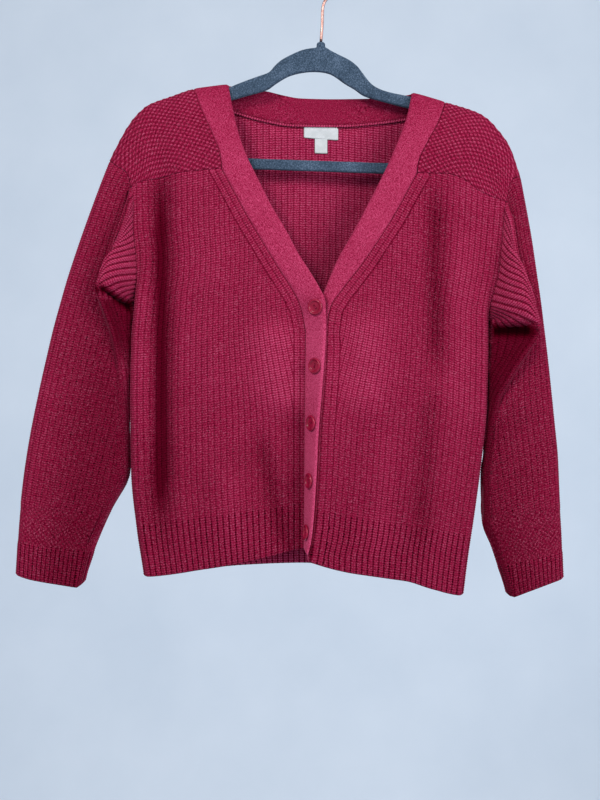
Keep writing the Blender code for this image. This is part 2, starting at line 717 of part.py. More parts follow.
def ring_curves(side, ring):
    """A sleeve ring in three open curves: outer edge to fold foot, fold ridge to underarm, and the back layer
    from the outer edge to the underarm."""
    rows = SIDES[side]["rings"]
    sign = SIDES[side]["sign"]
    keys = np.arange(1, len(rows["top_z"]) + 1)
    at = {name: float(smooth(keys, rows[name], ring)) for name in rows}

    def point(name, depth=None):
        deep = at[name + "_d"] if depth is None else depth
        return np.array([sign * at[name + "_out"], -deep, at[name + "_z"]])

    top = point("top", 0.0)
    under = point("under")
    apex = point("apex")
    back = point("back", -RING_BACK)

    def rounded(edge, toward, depth):
        way = (toward - edge) * (1, 0, 1)
        way = way / np.linalg.norm(way)
        shoulder = edge + way * 1.2
        shoulder[1] = edge[1] * 0.6 + depth * 0.4
        crown = edge + way * 5.0
        crown[1] = edge[1] * 0.2 + depth * 0.8
        return [shoulder, crown]

    outer = through([top] + rounded(top, apex, apex[1]) + [apex, point("foot")])
    flap = through([point("ridge"), point("flap"), point("lip"), under])
    back_line = [top] + rounded(top, back, RING_BACK)
    for share in (0.4, 0.75):
        place = top + (back - top) * share
        place[1] = RING_BACK
        back_line.append(place)
    back_line.append(back)
    for share in (0.25, 0.6):
        place = back + (under - back) * share
        place[1] = RING_BACK
        back_line.append(place)
    back_line += rounded(under, back, RING_BACK)[::-1] + [under]
    return outer, flap, through(back_line)


def spaced(line, distances):
    """Points along a line; those that would crowd an end, or pass it, lie on the end itself."""
    total = lengths(line)[-1]
    distances = np.where(distances < RIB_CROWD, 0.0, distances)
    return at_lengths(line, np.where(distances > total - RIB_CROWD, total, distances))


def sleeve_ring(side, ring, armhole, finer=1):
    """The points of one ring at every half rib: underarm, back, outer edge, front, underarm."""
    step = 0.5 / finer
    outer_ribs = np.arange(0, OUTER_RIBS + step / 2, step)
    flap_ribs = np.arange(0, FLAP_RIBS + step / 2, step)
    back_ribs = np.arange(0, BACK_RIBS + step / 2, step)
    if ring == 0:
        outer, flap, back = armhole
        outer_pitch = lengths(outer)[-1] / 7
        back_pitch = lengths(back)[-1] / BACK_RIBS
        lip = np.interp(-SIDES[side]["lip"], -flap[:, 2], lengths(flap))
    else:
        outer, flap, back = ring_curves(side, ring)
        outer_pitch = max(float(column(RIB_SPACING, "ring", "outer", ring)), lengths(outer)[-1] / OUTER_RIBS)
        back_pitch = max(float(column(RIB_SPACING, "ring", "back", ring)), lengths(back)[-1] / BACK_RIBS)
        lip = lengths(flap)[2 * CURVE_STEPS] if ring <= LAST_FLAP_RING else 0.0
    total = lengths(flap)[-1]
    flap_pitch = max(FLAP_PITCH, lip / LIP_RIB)
    above = lip - (LIP_RIB - flap_ribs) * flap_pitch
    below_pitch = (total - lip) / (FLAP_RIBS - LIP_RIB)
    if ring > LAST_FLAP_RING:
        below_pitch = max(below_pitch, float(column(RIB_SPACING, "ring", "outer", ring)))
    flap_at = np.where(flap_ribs < LIP_RIB, above, lip + (flap_ribs - LIP_RIB) * below_pitch)
    outer = spaced(outer, outer_ribs * outer_pitch)
    flap = spaced(flap, flap_at)
    back = spaced(back, back_ribs * back_pitch)
    cliff = [outer[-1] + (flap[0] - outer[-1]) * share for share in np.arange(step, 1, step)]
    return np.concatenate([back[::-1], outer[1:], cliff, flap])


def sleeve_grid(side, rings, armhole, finer=1):
    return np.stack([sleeve_ring(side, ring, armhole, finer) for ring in rings], axis=1)


def normalised(vectors):
    return vectors / np.maximum(np.linalg.norm(vectors, axis=-1, keepdims=True), 1e-9)


def row_tangents(line, wrap):
    """Directions along one row of points; points that coincide share the direction across all of them."""
    gaps = np.linalg.norm(np.diff(line, axis=0), axis=1)
    starts = np.concatenate([[0], np.flatnonzero(gaps > 0.02) + 1])
    places = line[starts]
    group = np.searchsorted(starts, np.arange(len(line)), side="right") - 1
    ahead = normalised(np.diff(places, axis=0))
    if wrap:
        before = np.concatenate([ahead[-1:], ahead])
        after = np.concatenate([ahead, ahead[:1]])
        if np.linalg.norm(places[0] - places[-1]) > 0.02:
            closing = normalised(places[:1] - places[-1:])
            before[0] = closing
            after[-1] = closing
    else:
        before = np.concatenate([ahead[:1], ahead])
        after = np.concatenate([ahead, ahead[-1:]])
    return normalised(before + after + 1e-6 * ahead[0])[group]


def facing(grid, wrap=False):
    """Unit normals of a grid of points, from the crossing of its two directions."""
    along = np.stack([row_tangents(grid[:, row], wrap) for row in range(grid.shape[1])], axis=1)
    step = np.diff(grid, axis=1)
    size = np.linalg.norm(step, axis=-1, keepdims=True)
    step = np.where(size > 0.02, step / np.maximum(size, 1e-9), 0)
    first = step[:, :1]
    last = step[:, -1:]
    up = np.concatenate([first, step], axis=1) + np.concatenate([step, last], axis=1)
    return normalised(np.cross(along, up))


def pull_in(grid, start_column=False, end_column=False, start_row=False, end_row=False, by=SEAM_GAP / 2):
    """Moves the named edges of a grid inward, by half the seam gap unless told otherwise."""
    grid = grid.copy()

    def step(edge, inner):
        way = inner - edge
        size = np.maximum(np.linalg.norm(way, axis=-1, keepdims=True), 1e-9)
        return edge + way / size * by

    if start_column:
        grid[0] = step(grid[0], grid[1])
    if end_column:
        grid[-1] = step(grid[-1], grid[-2])
    if start_row:
        grid[:, 0] = step(grid[:, 0], grid[:, 1])
    if end_row:
        grid[:, -1] = step(grid[:, -1], grid[:, -2])
    return grid


def rib_heights(columns, rows):
    """Wall thickness for columns at half ribs: a groove at each whole rib, a crest between."""
    height = np.full((columns, rows), WALL)
    height[1::2] += RIB_RISE
    return height


def new_material(name, colour, roughness, metallic=0.0):
    material = bpy.data.materials.new(name)
    material.use_nodes = True
    shader = material.node_tree.nodes["Principled BSDF"]
    shader.inputs["Base Color"].default_value = colour
    shader.inputs["Roughness"].default_value = roughness
    shader.inputs["Metallic"].default_value = metallic
    return material


def add_object(name, mesh, material):
    piece = bpy.data.objects.new(name, mesh)
    piece.data.materials.append(material)
    cardigan.objects.link(piece)
    return piece


def make_wall(name, inside, normals, height, material, inner_step=1, wrap=False):
    """A closed wall: a plain inside on every inner_step-th column, and an outside at its height above it."""
    outside = inside + normals * height[..., None]
    columns, rows = inside.shape[:2]
    shell = bmesh.new()
    made = {}

    def vertex(place):
        key = tuple(np.round(place, 4))
        if key not in made:
            made[key] = shell.verts.new([value * MM for value in place])
        return made[key]

    def face(places):
        corners = []
        for place in places:
            corner = vertex(place)
            if corner not in corners:
                corners.append(corner)
        if len(corners) > 2 and shell.faces.get(corners) is None:
            shell.faces.new(corners)

    for c in range(columns - 1):
        for r in range(rows - 1):
            face([outside[c, r], outside[c + 1, r], outside[c + 1, r + 1], outside[c, r + 1]])
    for c in range(0, columns - 1, inner_step):
        d = c + inner_step
        for r in range(rows - 1):
            face([inside[c, r + 1], inside[d, r + 1], inside[d, r], inside[c, r]])
        face([inside[c, 0], inside[d, 0]] + [outside[i, 0] for i in range(d, c - 1, -1)])
        face([inside[d, -1], inside[c, -1]] + [outside[i, -1] for i in range(c, d + 1)])
    if not wrap:
        for r in range(rows - 1):
            face([inside[0, r], outside[0, r], outside[0, r + 1], inside[0, r + 1]])
            face([inside[-1, r + 1], outside[-1, r + 1], outside[-1, r], inside[-1, r]])
    mesh = bpy.data.meshes.new(name)
    bmesh.ops.recalc_face_normals(shell, faces=shell.faces)
    shell.to_mesh(mesh)
    shell.free()
    mesh.shade_smooth()
    mesh.set_sharp_from_angle(angle=math.radians(50))
    return add_object(name, mesh, material)


def half_ribs(count):
    return np.arange(2 * count + 1) / 2


def front_rows(side):
    """Row shares for a front: even below the underarm, closer beside the armhole."""
    hem = float(column(SIDES[side]["hem"], "x", "height", side_x(side, -720.0)))
    top = float(front_top(side, np.array([0.0]))[0])
    under = (UNDERARM[side] - hem) / (top - hem)
    below = np.array([0, 0.17, 0.45, 0.74, 1.0]) * under
    above = under + (1 - under) * np.array([0.22, 0.48, 0.74, 1.0])
    return np.concatenate([below, above])


def side_normals(normals, grid, first, sign, under):
    """Makes the wall face straight sideways along a side seam, so that front and back meet squarely."""
    column_index = 0 if first else -1
    low = grid[column_index, :, 2] < under + 1
    normals[column_index, low] = (sign, 0.0, 0.0)
    return normals


def front_wall(side):
    """Points and facing of a front, as [points, facing]."""
    sign = SIDES[side]["sign"]
    grid = front_grid(side, half_ribs(SIDES[side]["ribs"]), front_rows(side))
    return [grid, side_normals(facing(grid) * sign * -1, grid, True, sign, UNDERARM[side])]


def back_rows(side):
    hem = float(column(BACK_HEM, "x", "height", side_x(side, -720.0)))
    top = float(back_top(np.array([0.0 if side == "right" else float(RIBS_BACK)]))[0])
    under = (UNDERARM[side] - hem) / (top - hem)
    below = np.array([0, 0.33, 0.67, 1.0]) * under
    above = under + (1 - under) * np.array([0.28, 0.56, 0.78, 0.92, 1.0])
    return np.concatenate([below, above])


def back_wall():
    ribs = half_ribs(RIBS_BACK)
    share = (ribs / RIBS_BACK)[:, None]
    rows = back_rows("right")[None, :] * (1 - share) + back_rows("left")[None, :] * share
    rib = np.repeat(ribs[:, None], rows.shape[1], axis=1)
    top = back_top(rib)
    bottom = column(BACK_HEM, "x", "height", back_x(rib, np.full(rib.shape, -720.0)))
    grid = back_point(rib, bottom + (top - bottom) * rows)
    normals = side_normals(-facing(grid), grid, True, -1, UNDERARM["right"])
    return [grid, side_normals(normals, grid, False, 1, UNDERARM["left"])]


YOKE_SHARES = np.array([0, 0.17, 0.30, 0.40, 0.50, 0.60, 0.72, 0.84, 0.93, 1.0])
YOKE_ROWS = np.array([0, 0.12, 0.24, 0.36, 0.45, 0.5, 0.55, 0.64, 0.76, 0.88, 1.0])


def yoke_wall(side):
    grid = yoke_grid(side, YOKE_SHARES, YOKE_ROWS)
    return [grid, facing(grid) * SIDES[side]["sign"]]


def armhole(side, front, yoke, back):
    """The armhole's front and back halves, from the shoulder to the underarm, as places in the body's walls."""
    back_column = 0 if side == "right" else -1
    under = UNDERARM[side] - 1
    middle = yoke[0].shape[1] // 2
    halves = []
    for wall, index, yoke_rows in (
        (front, 0, range(middle, 0, -1)),
        (back, back_column, range(middle, yoke[0].shape[1] - 1)),
    ):
        places = [(yoke, -1, row) for row in yoke_rows]
        down = range(wall[0].shape[1] - 1, -1, -1)
        places += [(wall, index, row) for row in down if wall[0][index, row, 2] > under]
        halves.append(places)
    return halves


def along_seam(places, which):
    return np.array([wall[which][c, r] for wall, c, r in places])


def mitre(first, second):
    """The direction two walls share where they meet, lengthened so that each keeps its thickness."""
    meeting = np.sum(first * second, axis=-1, keepdims=True)
    return (first + second) / np.maximum(1 + meeting, 0.5)


def share_facing(first, second):
    """Gives two edges that meet along a seam, listed from the same end, one shared facing."""
    lines = [along_seam(places, 0) for places in (first, second)]
    facings = [along_seam(places, 1) for places in (first, second)]
    shares = [lengths(line) / lengths(line)[-1] for line in lines]
    for places, own, other in ((first, 0, 1), (second, 1, 0)):
        met = np.stack(
            [np.interp(shares[own], shares[other], facings[other][:, axis]) for axis in range(3)], axis=-1
        )
        for (wall, c, r), value in zip(places, mitre(facings[own], normalised(met))):
            wall[1][c, r] = value


def eased(normals, passes=2):
    """Normals averaged with their neighbours across and along the ribs."""
    for _ in range(passes):
        wide = np.concatenate([normals[-2:-1], normals, normals[1:2]])
        across_ribs = wide[:-2] + wide[2:]
        tall = np.concatenate([normals[:, :1], normals, normals[:, -1:]], axis=1)
        along_ribs = tall[:, :-2] + tall[:, 2:]
        normals = normalised(4 * normals + across_ribs + along_ribs)
    return normals


def sleeve_wall(side, holes):
    """Points, facing and height of a sleeve; its first row and the armhole's edges get one shared facing."""
    last = len(SIDES[side]["rings"]["top_z"])
    front_places, back_places = holes
    front_line = along_seam(front_places, 0)
    back_line = along_seam(back_places, 0)
    corner = np.flatnonzero(front_line[:, 2] < SIDES[side]["fold_start"])[0]
    grid = sleeve_grid(side, range(last + 1), (front_line[: corner + 1], front_line[corner:], back_line))
    normals = facing(grid, wrap=True) * SIDES[side]["sign"]
    middle = 2 * BACK_RIBS
    for places, line, own in (
        (back_places, back_line, np.arange(middle, -1, -1)),
        (front_places, front_line, np.arange(middle, len(grid))),
    ):
        on_body = along_seam(places, 1)
        on_line = lengths(line)
        own_line = np.clip(lengths(grid[own, 0]), 0, on_line[-1])
        own_line = own_line * on_line[-1] / own_line[-1]
        on_sleeve = [np.interp(on_line, own_line, normals[own, 0, axis]) for axis in range(3)]
        on_sleeve = np.stack(on_sleeve, axis=-1)
        shared = mitre(on_body, normalised(on_sleeve))
        for (wall, c, r), value in zip(places, shared):
            wall[1][c, r] = value
        facings = [np.interp(own_line, on_line, shared[:, axis]) for axis in range(3)]
        normals[own, 0] = np.stack(facings, axis=-1)
    normals[:, 1:] = eased(normals)[:, 1:]
    height = rib_heights(*grid.shape[:2])
    height[:, 0] = WALL
    for row in range(grid.shape[1]):
        gaps = np.linalg.norm(np.diff(grid[:, row], axis=0), axis=1)
        close = gaps < 0.02
        height[:-1, row][close] = WALL
        height[1:, row][close] = WALL
        for column_index in np.flatnonzero(close):
            normals[column_index + 1, row] = normals[column_index, row]
            grid[column_index + 1, row] = grid[column_index, row]
    middle_facing = normalised(normals[0] + normals[-1])
    for row in range(grid.shape[1]):
        for end in (0, -1):
            same = np.linalg.norm(grid[:, row] - grid[end, row], axis=-1) < 0.02
            normals[same, row] = middle_facing[row]
    grid[-1] = grid[0]
    return grid, normals, height


def front_seam(side, front):
    """Places on a front from the hem up its placket seam and up the V to the yoke, at whole ribs."""
    grid = front[0]
    last_row = grid.shape[1] - 1
    places = [(front, -1, row) for row in range(last_row + 1)]
    corner = abs(SIDES[side]["slant"]["x"][0 if side == "right" else -1])
    columns = list(range(grid.shape[0] - 2, grid.shape[0] - 8, -1)) + list(range(grid.shape[0] - 9, 0, -2))
    for c in columns:
        if abs(grid[c, last_row, 0]) > corner - 3:
            break
        places.append((front, c, last_row))
    return places


def neck_seam(back):
    """Places on the back's neck seam from right to left, without its two ends."""
    grid = back[0]
    places = []
    for c in range(0, grid.shape[0], 4):
        if BACK_NECK_SEAM["x"][0] + 5 < grid[c, -1, 0] < BACK_NECK_SEAM["x"][-1] - 5:
            places.append((back, c, -1))
    return places


def free_edge(side, point):
    """The band's free edge beside a seam point of a front."""
    x, y, height = point
    rows = RIGHT_FREE if side == "right" else LEFT_FREE
    if height > PLACKET["height"][-1] + 4:
        names = ("free_depth", "free_x", "free_height")
        deep, free_x, free_z = (float(column(rows, "seam_x", name, x)) for name in names)
        return free_x, -deep, free_z
    seam_x, seam_depth, free_x, free_depth = (float(value) for value in top_band_edge(height))
    if side == "right":
        return free_x, -free_depth, height - 3
    facing_x, facing_depth = (float(value) for value in band_facing(height))
    return seam_x - facing_x * PLACKET_LAP, -(seam_depth - facing_depth * PLACKET_LAP), height


def band_wall(fronts, yokes, back):
    """The band, from the right hem up, round the neck and down to the left hem, with its seams shared."""
    rights = front_seam("right", fronts["right"])
    lefts = front_seam("left", fronts["left"])
    neck = neck_seam(back)
    yoke_rows = range(len(YOKE_ROWS))
    sections = [
        rights,
        [(yokes["right"], 0, row) for row in yoke_rows],
        neck,
        [(yokes["left"], 0, row) for row in reversed(yoke_rows)],
        lefts[::-1],
    ]
    seam = []
    free = []
    spans = []
    for number, places in enumerate(sections):
        start = len(seam)
        for wall, c, r in places:
            point = wall[0][c, r]
            seam.append(point)
            if number in (0, 4):
                free.append(free_edge("right" if number == 0 else "left", point))
            elif number == 2:
                free.append([float(column(BACK_FREE, "seam_x", name, point[0])) for name in
                             ("free_x", "free_y", "free_height")])
            else:
                rows = RIGHT_SHOULDER_FREE if number == 1 else LEFT_SHOULDER_FREE
                turn = 1 - 2 * YOKE_ROWS[r]
                angle = turn * (rows["angle"][0] if turn > 0 else -rows["angle"][-1])
                free.append([float(column(rows, "angle", name, angle)) for name in
                             ("free_x", "free_y", "free_height")])
        spans.append((start, len(seam)))
    seam = np.array(seam, float)
    free = np.array(free, float)
    grid = np.stack([seam + (free - seam) * share for share in (0.0, 0.33, 0.67, 1.0)], axis=0)
    wall = [grid, facing(grid)]
    for places, (start, end) in zip(sections, spans):
        share_facing([(wall, 0, row) for row in range(start, end)], places)
    return wall


def turned(name, profile, steps, material):
    """A solid turned about its own Z axis from a profile of (radius, height) points."""
    mesh = bpy.data.meshes.new(name)
    points = [(radius * MM, 0.0, height * MM) for radius, height in profile]
    edges = [(i, i + 1) for i in range(len(points) - 1)]
    mesh.from_pydata(points, edges, [])
    piece = add_object(name, mesh, material)
    screw = piece.modifiers.new("turn", "SCREW")
    screw.steps = steps
    screw.render_steps = steps
    screw.use_merge_vertices = True
    screw.merge_threshold = 0.00001
    screw.use_smooth_shade = True
    return piece


def make_buttons(band):
    """Dished buttons with a raised rim, seated on the top band."""
    profile = [
        (0.0, 1.5),
        (5.3, 1.6),
        (6.5, 2.7),
        (7.8, BUTTON_THICK),
        (BUTTON_RADIUS, 2.4),
        (8.6, 0.9),
        (6.0, 0.0),
        (0.0, 0.0),
    ]
    grid, normals = band
    middle = grid[0] + (grid[-1] - grid[0]) * BUTTON_SHARE
    outward = normalised(normals[2])
    rise = int(np.argmax(middle[:, 2]))
    for number, height in enumerate(BUTTON_HEIGHTS, start=1):
        place = np.array([np.interp(height, middle[:rise, 2], middle[:rise, axis]) for axis in range(3)])
        way = np.array([np.interp(height, middle[:rise, 2], outward[:rise, axis]) for axis in range(3)])
        way = normalised(way)
        place = place + way * (BAND_WALL + BUTTON_SEAT)
        piece = turned(f"button_{number}", profile, BUTTON_STEPS, button_red)
        piece.location = place * MM
        piece.rotation_euler = (math.acos(way[2]), 0.0, math.atan2(way[0], -way[1]))


def wall_y(grid, x, height):
    """y of a wall's plain inside at a place, read between its own points."""
    levels = [[np.interp(height, points[:, 2], points[:, axis]) for axis in (0, 1)] for points in grid]
    levels = np.array(levels)
    return np.interp(x, levels[:, 0], levels[:, 1])


def make_label(name, box):
    """A woven label on the inside of the back, made from the back's points and moved off them."""
    left, right, top, bottom = box
    grid = []
    for x in np.linspace(left, right, 5):
        heights = np.linspace(top, bottom, 3)
        grid.append([(x, wall_y(back[0], x, height) - LABEL_SEAT, height) for height in heights])
    grid = np.array(grid)
    normals = np.zeros(grid.shape)
    normals[..., 1] = -1.0
    make_wall(name, grid, normals, np.full(grid.shape[:2], LABEL_THICK), white)


def bar_height(x):
    return BAR_MIDDLE[1] + (x - BAR_MIDDLE[0]) * BAR_TILT


def bar_end(sign, half, corner, level):
    """Points round one end of the trouser bar, turning up into the arm."""
    points = []
    for degrees in (0, 30, 60, 90):
        turn = math.radians(degrees)
        x = BAR_MIDDLE[0] + sign * (half - corner + corner * math.sin(turn))
        points.append((x, bar_height(x) + level + corner * (1 - math.cos(turn))))
    return points


def make_hanger():
    """Arch, arms and trouser bar in one moulding, cut from one outline with an open middle."""
    top = list(zip(HANGER_TOP["x"], HANGER_TOP["height"] - HANGER_SEAT))
    boss = [(BAR_MIDDLE[0] + 2 - BOSS_HALF, BOSS_TOP), (BAR_MIDDLE[0] + 2 + BOSS_HALF, BOSS_TOP)]
    middle = next(i for i, point in enumerate(top) if point[0] > boss[0][0])
    outer = top[:middle] + boss + top[middle:]
    outer += bar_end(1, BAR_HALF + 24, BAR_CORNER + 10, -BAR_TALL / 2)[::-1]
    outer += bar_end(-1, BAR_HALF + 24, BAR_CORNER + 10, -BAR_TALL / 2)
    inner = list(zip(HANGER_UNDER["x"], HANGER_UNDER["height"]))
    inner += bar_end(1, BAR_HALF + 10, BAR_CORNER, BAR_TALL / 2)[::-1]
    inner += bar_end(-1, BAR_HALF + 10, BAR_CORNER, BAR_TALL / 2)
    outline = bpy.data.curves.new("hanger", "CURVE")
    outline.dimensions = "2D"
    outline.fill_mode = "BOTH"
    outline.extrude = (HANGER_THICK / 2 - HANGER_EDGE) * MM
    outline.bevel_depth = HANGER_EDGE * MM
    outline.bevel_resolution = 1
    outline.offset = -HANGER_EDGE * MM
    for line in (outer, inner):
        spline = outline.splines.new("POLY")
        spline.points.add(len(line) - 1)
        spline.use_cyclic_u = True
        for point, (x, height) in zip(spline.points, line):
            point.co = (x * MM, height * MM, 0.0, 1.0)
    piece = add_object("hanger", outline, velvet)
    piece.rotation_euler = (math.radians(90), 0.0, 0.0)
    weld = piece.modifiers.new("weld", "WELD")
    weld.merge_threshold = 0.00001
    return piece


def make_hook():
    """The wire hook: a straight stem, an outward bend and most of a circle that ends in a rounded tip."""
    wire = HOOK_WIRE / 2
    radius = HOOK_INSIDE + wire
    centre = -HOOK_INSIDE
    points = [(BAR_MIDDLE[0] + 2, BOSS_TOP + SEAM_GAP), (-1.5, -74.0), (-0.4, -52.0)]
    points += [(3.0, -44.5), (10.0, -40.0)]
    for degrees in range(-50, 211, 20):
        turn = math.radians(degrees)
        points.append((radius * math.cos(turn), centre + radius * math.sin(turn)))
    path = bpy.data.curves.new("hanger_hook", "CURVE")
    path.dimensions = "3D"
    path.bevel_depth = wire * MM
    path.bevel_resolution = 2
    path.use_fill_caps = True
    spline = path.splines.new("POLY")
    spline.points.add(len(points) - 1)
    for point, (x, height) in zip(spline.points, points):
        point.co = (x * MM, 0.0, height * MM, 1.0)
    piece = add_object("hanger_hook", path, steel)
    weld = piece.modifiers.new("weld", "WELD")
    weld.merge_threshold = 0.00001
    return piece


for old in list(bpy.data.objects):
    bpy.data.objects.remove(old, do_unlink=True)
cardigan = bpy.data.collections.new("button_cardigan_on_hanger")
bpy.context.scene.collection.children.link(cardigan)
wool = new_material("ribbed wool", CRIMSON, 0.9)
smooth_wool = new_material("smooth wool", CRIMSON, 0.85)
button_red = new_material("button", BUTTON_RED, 0.3)
velvet = new_material("velvet flock", SLATE, 0.95)
steel = new_material("hook metal", STEEL, 0.25, 1.0)
white = new_material("label", WHITE, 0.8)

fronts = {side: front_wall(side) for side in SIDES}
yokes = {side: yoke_wall(side) for side in SIDES}
back = back_wall()
band = band_wall(fronts, yokes, back)
for side in SIDES:
    front_edge = [(fronts[side], c, -1) for c in range(fronts[side][0].shape[0])]
    corner = abs(SIDES[side]["slant"]["x"][0 if side == "right" else -1])
    front_edge = [place for place in front_edge if abs(place[0][0][place[1], -1, 0]) > corner]
    share_facing(front_edge, [(yokes[side], c, 0) for c in range(len(YOKE_SHARES) - 1, -1, -1)])
    back_edge = [(back, c, -1) for c in range(back[0].shape[0])]
    neck = abs(SIDES[side]["back_yoke"]["x"][-1 if side == "right" else 0])
    sign = SIDES[side]["sign"]
    back_edge = [place for place in back_edge if back[0][place[1], -1, 0] * sign > neck]
    back_edge = back_edge if side == "right" else back_edge[::-1]
    share_facing(back_edge, [(yokes[side], c, -1) for c in range(len(YOKE_SHARES) - 1, -1, -1)])
for side in SIDES:
    grid, normals, height = sleeve_wall(side, armhole(side, fronts[side], yokes[side], back))
    yokes[side][1][-1, 0] = fronts[side][1][0, -1]
    yokes[side][1][-1, -1] = back[1][0 if side == "right" else -1, -1]
    gapped = pull_in(grid, start_row=True, by=2.5 * SEAM_GAP)
    make_wall(f"sleeve_{side}", gapped, normals, height, wool, inner_step=2, wrap=True)
for side in SIDES:
    grid, normals = fronts[side]
    height = rib_heights(*grid.shape[:2])
    height[1, grid[0, :, 2] > UNDERARM[side] - 1] = WALL
    height[-2] = WALL
    gapped = pull_in(grid, start_column=True, end_column=True, end_row=True, by=SEAM_GAP)
    make_wall(f"front_{side}", gapped, normals, height, wool, inner_step=2)
    grid, normals = yokes[side]
    gapped = pull_in(grid, start_column=True, end_column=True, start_row=True, end_row=True, by=SEAM_GAP)
    make_wall(f"yoke_{side}", gapped, normals, np.full(grid.shape[:2], YOKE_WALL), wool)
grid, normals = back
height = rib_heights(*grid.shape[:2])
height[1, grid[0, :, 2] > UNDERARM["right"] - 1] = WALL
height[-2, grid[-1, :, 2] > UNDERARM["left"] - 1] = WALL
gapped = pull_in(grid, start_column=True, end_column=True, end_row=True, by=SEAM_GAP)
make_wall("back", gapped, normals, height, wool, inner_step=2)
grid, normals = band
gapped = pull_in(grid, start_column=True)
make_wall("front_band", gapped, normals, np.full(grid.shape[:2], BAND_WALL), smooth_wool)
make_buttons(band)
make_label("label", LABEL_BOX)
make_label("size_tab", TAB_BOX)
make_hanger()
make_hook()
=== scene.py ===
import math

import bmesh
import bpy
import mathutils
import numpy as np
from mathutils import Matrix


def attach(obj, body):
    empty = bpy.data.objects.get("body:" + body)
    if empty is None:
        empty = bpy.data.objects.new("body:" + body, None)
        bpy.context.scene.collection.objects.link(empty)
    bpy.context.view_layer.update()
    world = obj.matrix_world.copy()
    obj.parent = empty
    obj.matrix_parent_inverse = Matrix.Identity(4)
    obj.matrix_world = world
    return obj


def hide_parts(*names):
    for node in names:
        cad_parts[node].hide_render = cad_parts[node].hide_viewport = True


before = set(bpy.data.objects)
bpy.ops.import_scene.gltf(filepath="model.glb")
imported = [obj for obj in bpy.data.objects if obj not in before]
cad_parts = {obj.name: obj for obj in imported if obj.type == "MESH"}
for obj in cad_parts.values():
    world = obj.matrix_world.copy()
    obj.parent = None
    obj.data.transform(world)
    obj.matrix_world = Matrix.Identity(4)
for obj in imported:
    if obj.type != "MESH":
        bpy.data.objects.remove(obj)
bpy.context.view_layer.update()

# Lengths are millimetres here and become metres when a mesh is made. The origin is where the hook rests, +X is
# to the viewer's right, +Y goes into the wall behind and +Z is up. Right and left are the wearer's.
MM = 0.001
NEAR = 0.02  # points closer together than this are one point

# Cloth
WALL = 1.8  # from the plain inside to the groove between two ribs
RIB_RISE = 1.1  # a rib's crest above that groove
RIB_WIDE = 7.0  # from one rib to the next
LEG_DIP = 0.3  # depth of the dip along a rib's middle, as a share of its rise
STITCH_RISE = 0.36  # a stitch's swell on a rib
ROW = 2.8  # height of one stitch
SLANT = 0.2  # how far a stitch's two legs slant from the groove to the rib's middle, in rows
SEED_RISE = 0.5  # a seed stitch's bump
SEED_WIDE = 3.6  # width of one seed stitch
SEED_GRID = (1.15, 1.05)  # spacing of the points on a yoke, across and along it
BAND_WALL = 2.4
BAND_CROWN = 0.8  # how much thicker the band is along its middle
BAND_ROW = 1.4  # height of a stitch of the band's fine knit
BAND_STITCH = 1.7  # width of two of its stitches
YOKE_WALL = 2.4
SEAM_GAP = 0.3
SEAM_PULL = 0.12  # how far a panel's edge is drawn back from its seam
RIBS_RIGHT_FRONT = 30
RIBS_LEFT_FRONT = 29
RIBS_BACK = 60
FRONT_PER_RIB = 6  # columns of points to a rib
BACK_PER_RIB = 4
SLEEVE_FINER = 2  # columns of points to half a rib
SLEEVE_STEPS = 6  # rows of points from one sleeve ring to the next
BAND_COLUMNS = 19
BAND_STEP = 2.0  # length of the band between two rows of points
YOKE_SHARES = np.linspace(0, 1, 41)
YOKE_ROWS = np.linspace(0, 1, 61)
CURVE_STEPS = 6  # points from one given point of a curve to the next
PLAIN_MARK = (0.0, 0.25)  # the knit mark of a face whose own marks jump, or that isn't knitted
MARK_SPAN = (1.6, 2.6)  # ribs and rows past which a face's marks jump
INSIDE_SPAN = 8.0  # how much farther the wider faces of an inside may go

# Shoulder drape: the cloth falls from the hanger in an ellipse of these heights
FRONT_FALL = 120.0
BACK_FALL = 90.0
TURN_RIBS = 2  # ribs that turn round the side of the body
FLAT_EDGE = 10.0  # an edge this far forward has no round turn
FADE_WIDE = 30.0  # width beside the side seam over which the soft folds fade in
HEM_LEVEL = -720.0  # the height at which the sides are read for the hems
SETTLE_STEPS = 30
SETTLE_SHARE = 0.6

# Fronts: the ribs that run along each slanting neck seam, and how the others lean and fan out beside them
FASHION = 2.0  # ribs that run along each slanting neck seam
LEAN_RIBS = 4.0  # how many ribs lean away from the placket into the slanting seam
LEAN_REACH = 75.0
LEAN_HEIGHTS = (-550.0, -385.0)
FAN_STEP = 13.5
FAN_RISE = 1.1
FAN_HALF = 2.2  # half the width of the row of fan stitches, and how far it lies outside the fashioned ribs
FAN_LONG = 2.6  # half the length of one of them
FAN_LOWEST = -425

# How light the yarn is painted: on the fronts, how much painted shade toward their hems, and for each mm of a
# fold the painted shade in its troughs and the painted light on its ridges
FRONT_TONE = 0.89
HEM_SHADE = 0.15
HEM_SHADE_LEVELS = (-480, -640)
FOLD_LIGHT_AND_SHADE = 0.09
YOKE_TONE = 0.87
# Painted light on the back's inside
BACK_INSIDE_LIGHT = 1.08
# Painted shade over each whole sleeve
SLEEVE_SHADE = 0.84
NECK_SHADE = 0.35  # how much less light the yarn reads at the back of the neck
NECK_DEPTHS = (-25.0, 5.0)
PLACKET_EDGE = 20.0
PLACKET_LIGHT = 0.3  # painted light: how much lighter the top band of the placket is painted
PLACKET_LEVELS = (-400, -440)
# How much lighter the linked seam inside the back neck is painted, as a painted highlight
RIDGE_HIGHLIGHT = 1.5

# Where the hem ribs and the cuffs' zones begin: places across and the heights there
HEM_TOP = {"right": ([-215, -21], [-663, -637]), "left": ([-18, 176], [-641, -677])}
BACK_HEM_TOP = ([-209, 162], [-661, -683])
SEED_TOP = {"right": ([250.7, 356.9], [-652.5, -640.1]), "left": ([181.2, 281.5], [-652.5, -644.2])}
CUFF_TOP = {"right": ([266.1, 361.6], [-696.2, -683.2]), "left": ([202.4, 282.1], [-713.9, -693.8])}
SEED_SOFT = 0.62  # how much lower the ribs are under the seed stitch of a sleeve

